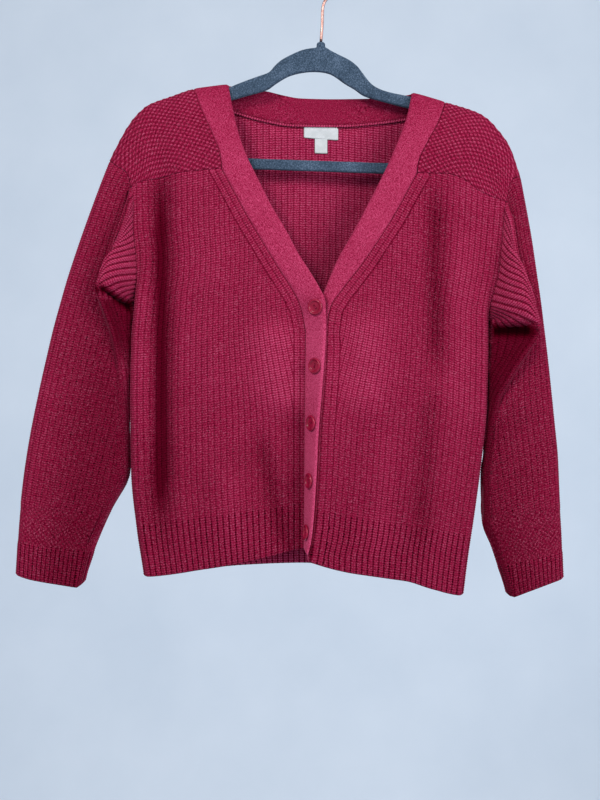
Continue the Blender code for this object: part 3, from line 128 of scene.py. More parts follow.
# Sleeves: where the drag fold's lip and the plain tube below it begin, and the look of its flap
LIP_LEVELS = {"right": (-404.0, -396.0), "left": (-436.0, -428.0)}
LOW_LEVELS = {"right": (-500.0, -440.0), "left": (-540.0, -480.0)}
FLAP_GROOVE_SHADE = 0.55  # painted shade: how much darker the grooves are painted on a drag fold's flap, whose ribs stand out twice as far

# The dark mouth under each drag fold: its two ends, half its height and how far it goes in
MOUTHS = {
    "right": ((-259.0, -386.0), (-222.0, -412.0), 6.0, 12.0),
    "left": ((193.0, -434.0), (241.0, -436.0), 9.0, 14.0),
}
MOUTH_SHADE = 0.95

# Hanger and hook
HANGER_THICK = 5.0
HANGER_EDGE = 1.9  # radius of its rounded rims
HANGER_GRAIN = 0.8  # size of the cells its one skin is made of
HOOK_WIRE = 3.4
HOOK_INSIDE = 19.0  # radius inside the hook's bend
HOOK_BEND = range(-50, 211, 20)  # degrees round the bend
HOOK_TIP = np.array([0.2, 0.5, 0.8, 0.97])  # how far along the round tip each of its last rings lies
BAR_MIDDLE = (-5.0, -241.0)
BAR_TILT = -0.0345
BAR_TALL = 12.7
BAR_HALF = 172.0
BAR_CORNER = 26.0
BAR_OUT = 24  # how far the bar's lower edge reaches past BAR_HALF, and its upper edge
BAR_IN = 10
BOSS_TOP = -94.4
BOSS_RADIUS = 5.2
BOSS_LOW = -12.0  # levels from the boss's top: its foot, where its rounding starts and its flat top
BOSS_SHOULDER = -3.2
BOSS_CAP = -0.1
BOSS_SQUASH = (1.0, 0.75, 1.0)
BOSS_X = BAR_MIDDLE[0] + 2
HANGER_TOP = (
    (-206, -176.5), (-200, -171.5), (-179, -162.5), (-149, -152.9), (-111, -148.1), (-104, -145.1),
    (-90, -139.7), (-77, -135), (-64, -130), (-58, -123.2), (-50, -116.1), (-37, -109), (-24, -103.7),
    (-9, -101.3), (3, -101.3), (8, -104.3), (17, -109), (31, -116.1), (40, -123.2), (45.5, -130.3),
    (57, -144.4), (70, -151.5), (99, -158.3), (117, -162.4), (152, -171.9), (181, -181.5), (192, -190),
    (198, -198.5),
)
HANGER_UNDER = (
    (-190, -182), (-179, -178), (-149, -171), (-111, -164), (-90, -158), (-66, -151), (-56, -144),
    (-42, -135.7), (-28, -131.5), (-10, -129.8), (8, -132.7), (25, -143.9), (37, -151), (47, -158),
    (70, -165), (93, -171), (117, -177), (152, -186), (178, -197),
)
HOOK_STEM = ((BOSS_X, BOSS_TOP + SEAM_GAP), (-1.5, -74.0), (-0.4, -52.0), (3.0, -44.5), (10.0, -40.0))

# Buttons
BUTTON_HEIGHTS = (-411.0, -478.0, -543.0, -609.0, -668.0)
BUTTON_SHARE = 0.63  # where a button's middle lies, from the band's seam to its free edge
BUTTON_SEAT = 3.3  # from the band's inside to a button's base
BUTTON_STEPS = 72
BUTTON_TURN = 2.2  # how far each button is turned from the last, in radians
BUTTON_TOP = ((5.4, 1.5), (6.1, 2.0), (6.8, 2.9), (7.6, 3.2), (8.4, 2.9), (9.0, 2.1))
BUTTON_UNDER = ((9.0, 2.1), (8.9, 1.2), (8.0, 0.4), (6.6, 0.0), (3.0, 0.0))
DISH_LEVEL = 1.45
DISH_STEP = 0.2
HOLE_OUT = 1.8  # each sewing hole's distance from a button's middle
HOLE_RADIUS = 0.95
HOLE_DEEP = 1.2
THREAD = 0.34
THREADS_ASIDE = (-0.42, 0.0, 0.42)
THREAD_LOW = 0.6  # a thread's ends inside the holes, and how high it arches over them
THREAD_ARCH = 1.35

# Label and tab: left, right, upper left, upper right, lower left and lower right heights
LABEL = (-23.0, 18.0, -188.6, -190.9, -203.1, -206.0)
TAB = (-10.0, 5.0, -203.0, -203.6, -221.2, -221.6)
TAPE_POINTS = (28, 14)
TAPE_THICK = 0.5
TAPE_HEM = 0.22
TAPE_TOP = -194.0  # above it a tape lies on the wall as it is at this height

# Linked seam inside the back neck
RIDGE_STITCH = 3.1
RIDGE_OFF = 1.3
RIDGE_RADIUS = 0.95

# Colours of the yarn, from the painted shadow of the darkest gap to the fuzz on top, whose specks are painted
# sheen
GAP_SHADOW = (0.004, 0.0, 0.0006)
DEEP = (0.066, 0.0002, 0.0060)
MIDDLE = (0.245, 0.0080, 0.0400)
BRIGHT = (0.640, 0.0850, 0.2000)
FUZZ_SHEEN = (0.560, 0.1500, 0.2500)
WOOL_SHEEN = (1.0, 0.30, 0.48, 1.0)
FLOCK_SHEEN = (0.55, 0.72, 1.0, 1.0)

# Camera: a lens that takes in 944 mm of width at 1050 mm, straight ahead of the garment's middle
CAMERA_AT = (-27.7, -1050.0, -516.8)
CAMERA_SENSOR = 36.0
CAMERA_LENS = CAMERA_SENSOR * 1050.0 / 944.0

# Stage in metres: the floor's front edge and level, the curve's start and radius, and the wall's top and width
FLOOR_FRONT = -5.0
FLOOR_LEVEL = -2.6
COVE_START = 1.4
COVE_RADIUS = 1.2
WALL_TOP = 3.4
STAGE_HALF = 5.0
SKY_COLOUR = (0.84, 0.91, 1.0, 1.0)
SKY_STRENGTH = 0.55

# Lamps in metres and watts: name, place, aim, power, size and colour
LAMPS = (
    ("key from the upper left", (-1.3, -2.0, 1.1), (-0.03, 0.0, -0.45), 48.0, 0.8, (1.0, 0.97, 0.94)),
    ("broad light from the right", (2.3, -1.9, 0.2), (-0.03, 0.0, -0.5), 78.0, 2.0, (0.97, 0.98, 1.0)),
)


def table(columns, rows):
    """Rows of numbers under named columns, as one array for each column."""
    return dict(zip(columns.split(), np.array(rows, float).T))

# Edges of the body. The side edge is the side seam up to the underarm and the armhole above it.
# edge_depth is how far the edge stands in front of the hanger's plane, turn how wide the side's turn is.
RIGHT_EDGE = table("height side_x edge_depth back_depth turn", [
    (-745, -207, 0, 0, 8), (-723, -209, 0, 0, 8), (-670, -217, 0, 0, 8), (-600, -224, 0, 0, 8),
    (-517, -225, 0, 0, 8), (-446, -223.5, 0, 0, 8), (-399, -219.5, 0, 0, 8), (-374, -218.5, 9, 7, 11),
    (-350, -219, 13, 10, 13), (-311, -223, 16, 12, 13), (-262, -224, 17, 12, 13),
])
LEFT_EDGE = table("height side_x edge_depth back_depth turn", [
    (-760, 160, 0, 0, 8), (-745, 162, 0, 0, 8), (-705, 167, 0, 0, 8), (-644, 176, 0, 0, 8),
    (-582, 184, 0, 0, 8), (-517, 190, 0, 0, 8), (-450, 191, 0, 0, 8), (-420, 191, 0, 0, 8),
    (-396, 197, 9, 7, 11), (-370, 204, 13, 10, 13), (-320, 209, 16, 12, 13), (-275, 212, 17, 12, 13),
])
UNDERARM = {"right": -399.0, "left": -420.0}

# Depth of each front's inside, at five places from its side to the line of its band seam
ACROSS = np.array([0.08, 0.30, 0.50, 0.80, 1.00])
RIGHT_DEPTH = table("height side quarter middle inner seam", [
    (-745, 12, 20, 24, 23, 16), (-700, 13, 21, 25, 24, 16), (-650, 13, 22, 26, 24, 15),
    (-580, 14, 23, 28, 26, 17), (-500, 15, 24, 29, 30, 21), (-440, 16, 24, 28, 31, 26),
    (-360, 17, 24, 27, 29, 29), (-300, 17, 24, 27, 28, 28), (-250, 18, 24, 26, 26, 26),
])
LEFT_DEPTH = table("height side quarter middle inner seam", [
    (-745, 12, 20, 26, 35, 43), (-690, 12, 20, 27, 36, 43), (-640, 13, 21, 27, 35, 42),
    (-580, 14, 22, 28, 34, 42), (-500, 15, 23, 28, 34, 42), (-437, 16, 24, 28, 33, 39),
    (-395, 16, 24, 28, 30, 32), (-300, 17, 24, 27, 28, 28), (-250, 18, 24, 26, 26, 26),
])
BACK_DEPTH = table("height right_side right middle left left_side", [
    (-745, 9, 15, 17, 16, 9), (-640, 10, 16, 19, 17, 10), (-517, 10, 17, 20, 17, 10),
    (-400, 11, 16, 18, 16, 11), (-300, 12, 16, 17, 16, 12), (-150, 12, 16, 17, 16, 12),
])
BACK_ACROSS = np.array([0.06, 0.25, 0.50, 0.75, 0.94])

# Lower edges, upper seams and the shoulder line, each as heights along the body's width
RIGHT_HEM = table("x height", [
    (-209, -723), (-194, -722), (-153, -715), (-86, -703), (-28, -690), (-21, -689),
])
LEFT_HEM = table("x height", [
    (-18, -700), (15, -711), (60, -720), (95, -726), (126, -736), (150, -743), (162, -745),
])
BACK_HEM = table("x height", [
    (-209, -723), (-150, -719), (-90, -714), (-28, -712), (40, -718), (100, -731), (162, -745),
])
RIGHT_YOKE_SEAM = table("x height", [
    (-224, -270), (-215, -264.5), (-186, -259), (-157, -254), (-118, -251),
])
LEFT_YOKE_SEAM = table("x height", [
    (107, -256), (139, -256), (160, -262), (178, -274), (205, -285), (212, -287),
])
RIGHT_BACK_YOKE_SEAM = table("x height", [(-224, -262), (-190, -214), (-160, -184), (-135, -164.5)])
LEFT_BACK_YOKE_SEAM = table("x height", [(128, -174), (150, -194), (180, -228), (212, -276)])
BACK_NECK_SEAM = table("x height", [
    (-135, -164.5), (-110, -173), (-73, -183), (-35, -189), (24, -189.6), (62, -187), (101, -182),
    (128, -174),
])
SHOULDER = table("x height", [
    (-252, -240), (-250, -236), (-240, -216), (-230, -198), (-222, -186.5), (-214, -178), (-205, -171),
    (-179, -161.4), (-149, -151.8), (-111, -147.1), (0, -147), (103, -156.6), (117, -161.3), (152, -170.8),
    (181, -180.4), (194, -189), (203, -199), (211, -209), (218, -221), (224, -238), (230.5, -258),
])

# The band seam up each V: it leaves the straight placket and slants to the yoke
RIGHT_V = table("x height", [
    (-118, -251), (-86.6, -309), (-53.6, -364), (-35, -393), (-26, -412), (-21, -437),
])
LEFT_V = table("x height", [(3, -437), (7, -412), (18, -394), (44.4, -360), (78, -309), (107, -256)])

# Where the yokes' neck and armhole edges lie as they pass over the shoulder, by the angle of the drape:
# positive degrees are on the front, 0 is the shoulder line, negative degrees are on the back
RIGHT_YOKE_ENDS = table("angle neck_x arm_x", [
    (-80, -135, -224), (-33, -135, -240), (-20, -146, -246), (0, -153.4, -250), (35, -146, -244),
    (65, -131, -229), (72, -125, -224), (82, -118, -224),
])
LEFT_YOKE_ENDS = table("angle neck_x arm_x", [
    (-80, 128, 212), (-28, 128, 222), (-16, 138, 227), (0, 143.4, 230.5), (35, 137, 224), (60, 124, 216),
    (70, 116, 212), (82, 107, 212),
])

# The placket: the right front's band seam, and the free edge of its band, which stands forward
PLACKET = table("height seam_x free_x free_depth", [
    (-694, -21, -20, 46), (-670, -21, -14.5, 46), (-610, -21, -9.5, 45), (-550, -21, -6.5, 45),
    (-490, -21, -1.5, 45), (-440, -21, 2, 43),
])
PLACKET_LAP = 4.2  # how far the under band's inside lies behind the top band's

# The band's free edge along each V and over each shoulder, beside the seam point of the same row
RIGHT_FREE = table("seam_x free_x free_height free_depth", [
    (-21, 2, -440, 43), (-26, 1.5, -407, 42), (-35, -5.3, -389, 36), (-53.6, -30.5, -347, 29.5),
    (-70, -44, -321, 27), (-86.6, -59.9, -294, 25), (-103, -75, -264, 23), (-118, -89, -236, 21),
])
LEFT_FREE = table("seam_x free_x free_height free_depth", [
    (107, 74, -245, 21), (92, 60, -273, 23), (78, 46, -300, 25), (61, 31, -328, 26), (44.4, 17, -352, 26),
    (18, 2, -387, 27), (7, -6, -408, 27), (3, -18, -437, 23),
])
RIGHT_SHOULDER_FREE = table("angle free_x free_height free_y", [
    (82, -89, -236, -21), (55, -99, -207, -17), (28, -107, -172, -11), (14, -110.5, -154, -6.5),
    (6, -111.4, -148.8, -3.4), (0, -111.5, -147.0, 0), (-5, -110.5, -147.2, 3.2), (-14, -105, -146.5, 7.5),
    (-33, -91, -145.5, 11),
])
LEFT_SHOULDER_FREE = table("angle free_x free_height free_y", [
    (82, 74, -245, -21), (55, 88, -211, -17), (28, 98, -182, -11), (14, 102, -164, -6.5),
    (6, 103.2, -158.4, -3.4), (0, 103.3, -156.5, 0), (-5, 102.5, -156.6, 3.2), (-13, 99, -155.6, 7.5),
    (-28, 91, -154.5, 11),
])
BACK_FREE = table("seam_x free_x free_height free_y", [
    (-135, -91, -145.5, 11), (-110, -68, -148, 13), (-73, -48, -152.5, 14), (-35, -27, -156, 14.5),
    (24, 14, -157, 14.5), (62, 54, -156.5, 14), (101, 76, -155, 13), (128, 91, -154.5, 11),
])

# Soft folds: straight lines on the body, depth positive for a ridge and negative for a trough. A fold runs on
# past its two ends by a share of its length, and fades out over another.
FOLD_OVER = 0.15
FOLD_FADE = 0.35
FRONT_FOLDS = table("x_top top x_low low half_width depth", [
    (-189, -250, -190, -655, 15, -8.5), (-207, -320, -205, -600, 9, 2.0), (-60, -430, -40, -530, 30, 4.0),
    (-75, -560, -45, -690, 12, -3.5), (-110, -600, -100, -700, 16, 1.5), (127, -270, 128, -480, 13, -5.5),
    (160, -320, 164, -560, 12, 0.8), (122, -500, 108, -690, 14, -3.0), (45, -420, 50, -530, 26, 3.0),
    (75, -560, 60, -700, 14, 1.5),
])
BACK_FOLDS = table("x_top top x_low low half_width depth", [
    (-170, -290, -150, -620, 14, -4.0), (-110, -240, -120, -560, 20, 2.5), (-30, -230, -45, -690, 16, -3.0),
    (35, -260, 30, -620, 22, 3.0), (100, -300, 85, -700, 14, -4.0), (150, -330, 140, -640, 16, 2.0),
])

# Sleeve rings below the armhole. Distances (out) are from the middle of the body, levels (z) are heights and
# depths (d) are toward the front. top is the outer edge and apex the front layer beside it. foot and ridge are
# the two sides of the drag fold's edge: the fold's flap runs from the ridge past flap and lip to under, the
# underarm line. Lower down the flap has gone and the same points round the sleeve's inner edge.
RING_COLUMNS = (
    "top_out top_z apex_out apex_z apex_d foot_out foot_z foot_d ridge_out ridge_z ridge_d "
    "flap_out flap_z flap_d lip_out lip_z lip_d under_out under_z under_d back_out back_z"
)
RIGHT_RINGS = table(RING_COLUMNS, [
    (257.5, -257, 243, -266, 15, 227.5, -284, 14.5, 225, -285, 22,
     229, -330, 25, 239, -378, 29, 225, -401, 1, 229, -318),
    (283, -326, 266, -333, 14, 243, -342, 14, 240, -341, 33,
     249, -364, 35, 251, -384, 33, 225.5, -404, 2, 237, -334),
    (299, -374, 281, -381, 14, 261.5, -388, 14, 258.5, -387, 35.5,
     250, -394, 20, 240, -400, 9.5, 225.5, -410, 3, 245, -352),
    (303.5, -389, 284, -395, 13.5, 260, -400, 14, 256.5, -397, 33,
     248, -406, 22, 239.5, -412, 13, 223.5, -421, 3, 251, -370),
    (308, -405, 283, -414, 13.5, 253, -422, 13, 249.5, -418, 28,
     243.5, -422, 20, 238, -427, 13, 225.6, -438, 4, 259, -396),
    (316, -434, 288, -443, 13, 245.5, -449, 12, 242, -444, 22,
     239.5, -447, 16, 237, -451, 11, 227.4, -456, 4, 268, -432),
    (321.5, -457, 290, -468, 13, 241, -482, 12, 238, -479, 14,
     236.5, -482, 11, 232.2, -484, 7, 228.8, -486, 3, 276, -466),
    (331.5, -501, 303, -510, 13, 239, -530, 11, 234, -532, 8,
     232.6, -532, 6, 231.8, -533, 4, 229.9, -534, 1, 283, -516),
    (343.5, -560, 315, -569, 13, 239, -592, 10, 232.5, -595, 6,
     231.8, -595.5, 5, 231.2, -596, 4, 229.6, -597, 2, 289, -578),
    (351.5, -612, 327, -620, 12, 259, -642, 9, 253.5, -645, 5,
     253, -645.5, 4, 252.5, -646, 3, 252, -647, 1.5, 302, -629),
    (356.5, -660, 336, -667, 10.5, 278, -687, 7, 273, -689, 4,
     272, -690, 3, 271.5, -690.5, 2, 271, -691, 1, 314, -675),
    (360.5, -722, 343, -727, 9.5, 290, -737, 6, 285.5, -734, 3.5,
     284.8, -733, 2.8, 284.2, -732, 2, 283.5, -731.5, 1, 322, -729),
])
LEFT_RINGS = table(RING_COLUMNS, [
    (232.8, -274, 226, -284, 14, 217.5, -304, 14, 215.5, -305, 22,
     213, -360, 25, 214, -412, 25, 198.5, -422, 1, 213, -332),
    (242, -324, 236, -333, 13, 223, -351, 14, 220.5, -350, 28,
     229.5, -384, 33, 231, -419, 33, 197.5, -429, 1.5, 218, -346),
    (252.5, -399, 250, -411, 12.5, 246.5, -430, 14, 244, -429, 36,
     232, -432, 21, 218, -431, 10, 196.3, -437, 2, 224, -372),
    (255, -417, 252, -427, 12.5, 245.5, -445, 13.5, 243, -441, 33,
     229, -446, 20, 214, -447, 11, 195.6, -450, 3, 227, -392),
    (258, -438, 251, -447, 13, 231.5, -469, 13, 228.5, -465, 29,
     219, -467, 20, 210, -469, 12, 195.3, -470, 3, 229.5, -420),
    (262, -470, 250, -479, 13, 217.5, -493, 12.5, 214.5, -489, 24,
     207, -490, 18, 201, -491, 12, 195, -492, 4, 231, -456),
    (265.5, -502, 248, -510, 13, 204.5, -521, 11, 201.5, -517, 16,
     199.5, -517.5, 12, 197.8, -518, 8, 194.4, -519, 3, 233, -500),
    (270, -546, 250, -553, 13, 199.5, -567, 10, 194.5, -568, 6,
     193.5, -568.5, 5, 192.6, -569, 4, 191, -570, 2, 233, -556),
    (273.5, -582, 252, -589, 13, 195, -603, 10, 189.8, -604, 6,
     189, -604.5, 5, 188.3, -605, 4, 187.6, -606, 2, 232, -592),
    (276, -635, 255, -642, 12, 195.5, -655, 9, 190.5, -656, 5,
     189.8, -656.5, 4, 189.2, -657, 3, 188.5, -658, 1.5, 232, -646),
    (278.2, -668, 260, -674, 10.5, 207, -688, 7, 202.5, -689.5, 4,
     201.5, -690, 3, 200.8, -690.5, 2, 200, -691, 1, 239, -679),
    (280.7, -726, 266, -731, 9.5, 224, -748, 6, 219.5, -747, 3.5,
     218.8, -746.5, 2.8, 218.2, -746, 2, 217.5, -745, 1, 249, -735),
])
RING_BACK = 12.0  # how far the sleeve's back layer lies behind the hanger's plane
OUTER_RIBS = 17  # front ribs from the outer edge to the drag fold's foot
TOP_RIBS = 7  # of those, the ones that reach the armhole
FLAP_RIBS = 19  # front ribs from the fold's ridge to the underarm
BACK_RIBS = 26  # back ribs from the outer edge to the underarm
CLIFF_RIBS = 3  # ribs on the fold's steep face
LAST_FLAP_RING = 2  # below it the flap's ribs run along the ridge instead of out from the armhole
LIP_RIB = 13.5  # the flap rib that runs along its lip, and is the ridge below the flap
FLAP_PITCH = 7.4
RIB_CROWD = 3.2
RIB_SPACING = table("ring outer back", [
    (1, 7.0, 6.5), (2, 7.0, 5.4), (3, 7.0, 5.2), (4, 7.0, 5.5), (5, 7.0, 6.1), (6, 7.0, 6.6), (7, 7.0, 7.0),
    (9, 6.8, 6.8), (10, 6.4, 6.4), (11, 5.4, 5.4), (12, 4.9, 4.9),
])
FOOT_RIB = BACK_RIBS + OUTER_RIBS

# The round of a tube's edge: distances in from it, with the shares of the edge's and of the layer's depth there
EDGE_BEND = ((1.2, 0.6, 0.4), (5.0, 0.2, 0.8))
BACK_STOPS = ((0.4, 0.75), (0.25, 0.6))  # shares of the back layer's two runs that have a point of their own

# Painted light and shade of the yarn from rib to rib round a sleeve: above its drag fold's lip, where the flap
# gets painted light, just below the lip, where it gets painted shade, and farther down. Rib 26 is the outer edge,
# 43 the fold's foot, 46 its ridge and 65 the underarm
RIGHT_SLEEVE_LIGHT_AND_SHADE = table("rib upper middle lower", [
    (0, 0.8, 0.7, 0.8), (22, 0.8, 0.8, 0.8), (26, 1.0, 1.0, 1.05), (31, 0.75, 0.7, 0.75),
    (37, 0.6, 0.5, 0.5), (43, 0.8, 0.4, 0.45), (50, 1.5, 0.4, 0.8), (56, 1.5, 0.3, 0.95),
    (62, 1.45, 0.3, 0.95),
])
LEFT_SLEEVE_LIGHT_AND_SHADE = table("rib upper middle lower", [
    (0, 0.8, 0.7, 0.8), (22, 0.75, 0.75, 0.75), (26, 0.75, 0.75, 0.75), (31, 0.72, 0.72, 0.72),
    (37, 0.65, 0.6, 0.55), (43, 1.2, 0.5, 0.4), (50, 1.5, 0.35, 0.35), (56, 1.5, 0.3, 0.35),
    (62, 1.45, 0.3, 0.35),
])

# All that differs between the two sides. sign is the side's way from the middle, fold_start the height at which
# the drag fold leaves the armhole and lip that of its lip there
SIDES = {
    "right": dict(
        edge=RIGHT_EDGE, depth=RIGHT_DEPTH, hem=RIGHT_HEM, yoke=RIGHT_YOKE_SEAM, back_yoke=RIGHT_BACK_YOKE_SEAM,
        slant=RIGHT_V, free=RIGHT_FREE, shoulder=RIGHT_SHOULDER_FREE, ends=RIGHT_YOKE_ENDS, rings=RIGHT_RINGS,
        tones=RIGHT_SLEEVE_LIGHT_AND_SHADE, sign=-1, ribs=RIBS_RIGHT_FRONT, fold_start=-268.0, lip=-373.0,
    ),
    "left": dict(
        edge=LEFT_EDGE, depth=LEFT_DEPTH, hem=LEFT_HEM, yoke=LEFT_YOKE_SEAM, back_yoke=LEFT_BACK_YOKE_SEAM,
        slant=LEFT_V, free=LEFT_FREE, shoulder=LEFT_SHOULDER_FREE, ends=LEFT_YOKE_ENDS, rings=LEFT_RINGS,
        tones=LEFT_SLEEVE_LIGHT_AND_SHADE, sign=1, ribs=RIBS_LEFT_FRONT, fold_start=-285.0, lip=-404.0,
    ),
}


def smooth(keys, values, at):
    """Values between given ones, on a curve that never overshoots them. A value may be an array of its own."""
    keys = np.asarray(keys, float)
    values = np.asarray(values, float)
    if keys[0] > keys[-1]:
        keys = keys[::-1]
        values = values[::-1]
    at = np.clip(np.asarray(at, float), keys[0], keys[-1])
    more = (1,) * (values.ndim - 1)
    step = np.diff(keys).reshape((-1,) + more)
    slope = np.diff(values, axis=0) / step
    before = slope[:-1]
    after = slope[1:]
    turns = before * after <= 0
    inner = np.where(turns, 0.0, 2 * before * after / np.where(turns, 1.0, before + after))
    bend = np.concatenate([slope[:1], inner, slope[-1:]])
    cell = np.clip(np.searchsorted(keys, at, side="right") - 1, 0, len(step) - 1)
    t = (at - keys[cell]) / np.diff(keys)[cell]
    if more:
        t = t.reshape(at.shape + more)
    found = values[cell] * (2 * t**3 - 3 * t**2 + 1) + values[cell + 1] * (3 * t**2 - 2 * t**3)
    return found + step[cell] * (bend[cell] * (t**3 - 2 * t**2 + t) + bend[cell + 1] * (t**3 - t**2))


def column(rows, key, name, at):
    """A table's column, read between its rows by the key column."""
    return smooth(rows[key], rows[name], at)


def blend01(low, high, value):
    """0 below low, 1 above high and smooth between."""
    t = np.clip((value - low) / (high - low), 0, 1)
    return t * t * (3 - 2 * t)


def read_line(at, keys, points):
    """Points of a line read between its own, by a number that each has."""
    return np.stack([np.interp(at, keys, points[:, axis]) for axis in range(3)], axis=-1)


def lengths(points):
    """Distance along a line of points, from its first."""
    return np.concatenate([[0.0], np.cumsum(np.linalg.norm(np.diff(points, axis=0), axis=1))])


def normalised(vectors):
    return vectors / np.maximum(np.linalg.norm(vectors, axis=-1, keepdims=True), 1e-9)


def settled(start, goal):
    """The height that goal gives back unchanged, found by easing toward it."""
    height = start
    for _ in range(SETTLE_STEPS):
        height = height + SETTLE_SHARE * (goal(height) - height)
    return height


def across(stations, rows, x_share, height):
    """A depth table read at a place across the panel and a height."""
    names = [name for name in rows if name != "height"]
    levels = np.stack([column(rows, "height", name, height) for name in names], axis=-1)
    share = np.clip(x_share, stations[0], stations[-1])
    cell = np.clip(np.searchsorted(stations, share, side="right") - 1, 0, len(stations) - 2)
    t = blend01(0, 1, (share - stations[cell]) / (stations[cell + 1] - stations[cell]))
    low = np.take_along_axis(levels, np.expand_dims(cell, -1), -1)[..., 0]
    high = np.take_along_axis(levels, np.expand_dims(cell + 1, -1), -1)[..., 0]
    return low + (high - low) * t


def folds(rows, x, height):
    """The sum of the soft folds at a place on the body. Each fades out over its ends."""
    total = np.zeros(np.broadcast(x, height).shape)
    for x_top, top, x_low, low, half, depth in zip(*rows.values()):
        along = (top - height) / (top - low)
        line = x_top + (x_low - x_top) * np.clip(along, 0, 1)
        fade = np.clip(np.minimum(along + FOLD_OVER, 1 + FOLD_OVER - along) / FOLD_FADE, 0, 1)
        total = total + depth * np.exp(-(((x - line) / half) ** 2)) * fade * fade * (3 - 2 * fade)
    return total


def drape(x, height, fall):
    """0 on the shoulder line, growing to 1 where the cloth has left it by the height of its fall."""
    drop = np.clip((column(SHOULDER, "x", "height", x) - height) / fall, 0, 1)
    return np.sqrt(1 - (1 - drop) ** 2)


def side_x(side, height):
    return column(SIDES[side]["edge"], "height", "side_x", height)


def top_band_edge(height):
    """Seam and free edge of the right front's band in the placket, as (x, depth) pairs at a height."""
    seam = column(PLACKET, "height", "seam_x", height), column(RIGHT_DEPTH, "height", "seam", height)
    return seam + tuple(column(PLACKET, "height", name, height) for name in ("free_x", "free_depth"))


def band_facing(height):
    """The way the buttoned band faces in the placket, as its x and depth parts."""
    seam_x, seam_depth, free_x, free_depth = top_band_edge(height)
    run = free_x - seam_x
    rise = free_depth - seam_depth
    length = np.hypot(run, rise)
    return -rise / length, run / length


def placket_x(side, height):
    """Where a front meets its band, with the straight placket carried on upward."""
    seam_x, _, free_x, _ = top_band_edge(height)
    return seam_x if side == "right" else free_x - band_facing(height)[0] * PLACKET_LAP


def front_depth(side, x, height):
    """How far a front's inside stands in front of the hanger's plane."""
    edge = side_x(side, height)
    share = (x - edge) / (placket_x(side, height) - edge)
    fade = np.clip(SIDES[side]["sign"] * (edge - x) / FADE_WIDE, 0, 1)
    soft = folds(FRONT_FOLDS, x, height)
    deep = across(ACROSS, SIDES[side]["depth"], share, height) + soft - soft * (1 - fade)
    return deep * drape(x, height, FRONT_FALL)


def back_depth(x, height):
    """How far the back's inside lies behind the hanger's plane."""
    right = side_x("right", height)
    share = (x - right) / (side_x("left", height) - right)
    deep = across(BACK_ACROSS, BACK_DEPTH, share, height) + folds(BACK_FOLDS, x, height)
    return deep * drape(x, height, BACK_FALL)


def turning(ribs_in, edge_depth):
    """How far a rib has come inward and forward round the body's side: a round turn at a side seam, a flat run
    where an armhole's edge already stands forward."""
    along = np.clip(ribs_in / TURN_RIBS, 0, 1)
    flat = np.clip(edge_depth / FLAT_EDGE, 0, 1)
    inward = (1 - flat) * (1 - np.cos(along * math.pi / 2)) + flat * along
    forward = (1 - flat) * np.sin(along * math.pi / 2) + flat * along
    return inward, forward


def front_x(side, rib, height):
    """x of a rib on a front, counted from the side."""
    rows = SIDES[side]
    turn = -rows["sign"] * column(rows["edge"], "height", "turn", height)
    edge = side_x(side, height)
    start = edge + turn
    inward, _ = turning(rib, column(rows["edge"], "height", "edge_depth", height))
    flat = np.clip((rib - TURN_RIBS) / (rows["ribs"] - TURN_RIBS), 0, 1)
    return np.where(rib < TURN_RIBS, edge + turn * inward, start + (placket_x(side, height) - start) * flat)


def front_point(side, rib, height):
    """A point of a front's plain inside."""
    x = front_x(side, rib, height)
    edge = column(SIDES[side]["edge"], "height", "edge_depth", height)
    _, forward = turning(rib, edge)
    return np.stack([x, -(edge + (front_depth(side, x, height) - edge) * forward), height], axis=-1)


def front_top(side, rib):
    """Height of a front's upper edge at a rib: the yoke seam, then the slant of the V."""
    def goal(height):
        x = front_x(side, rib, height)
        return np.minimum(*(column(SIDES[side][name], "x", "height", x) for name in ("yoke", "slant")))

    return settled(np.full(np.shape(rib), -300.0), goal)


def back_x(rib, height):
    """x of a rib on the back, counted from the right side."""
    ends = []
    for rows, ribs_in, way in ((RIGHT_EDGE, rib, 1), (LEFT_EDGE, RIBS_BACK - rib, -1)):
        edge, turn, deep = (column(rows, "height", name, height) for name in ("side_x", "turn", "back_depth"))
        ends.append((edge + way * turn, edge + way * turn * turning(ribs_in, deep)[0]))
    (first, round_right), (last, round_left) = ends
    flat = np.clip((rib - TURN_RIBS) / (RIBS_BACK - 2 * TURN_RIBS), 0, 1)
    x = np.where(rib < TURN_RIBS, round_right, first + (last - first) * flat)
    return np.where(rib > RIBS_BACK - TURN_RIBS, round_left, x)


def back_point(rib, height):
    """A point of the back's plain inside."""
    x = back_x(rib, height)
    right, left = (column(rows, "height", "back_depth", height) for rows in (RIGHT_EDGE, LEFT_EDGE))
    edge = np.where(rib < RIBS_BACK / 2, right, left)
    _, behind = turning(np.minimum(rib, RIBS_BACK - rib), edge)
    return np.stack([x, edge + (back_depth(x, height) - edge) * behind, height], axis=-1)


def back_top(rib):
    """Height of the back's upper edge: yoke seam, neck seam, yoke seam."""
    def goal(height):
        x = back_x(rib, height)
        neck, right, left = (
            column(rows, "x", "height", x) for rows in (BACK_NECK_SEAM, RIGHT_BACK_YOKE_SEAM, LEFT_BACK_YOKE_SEAM)
        )
        return np.where(x < BACK_NECK_SEAM["x"][0], right, np.where(x > BACK_NECK_SEAM["x"][-1], left, neck))

    return settled(np.full(np.shape(rib), -230.0), goal)


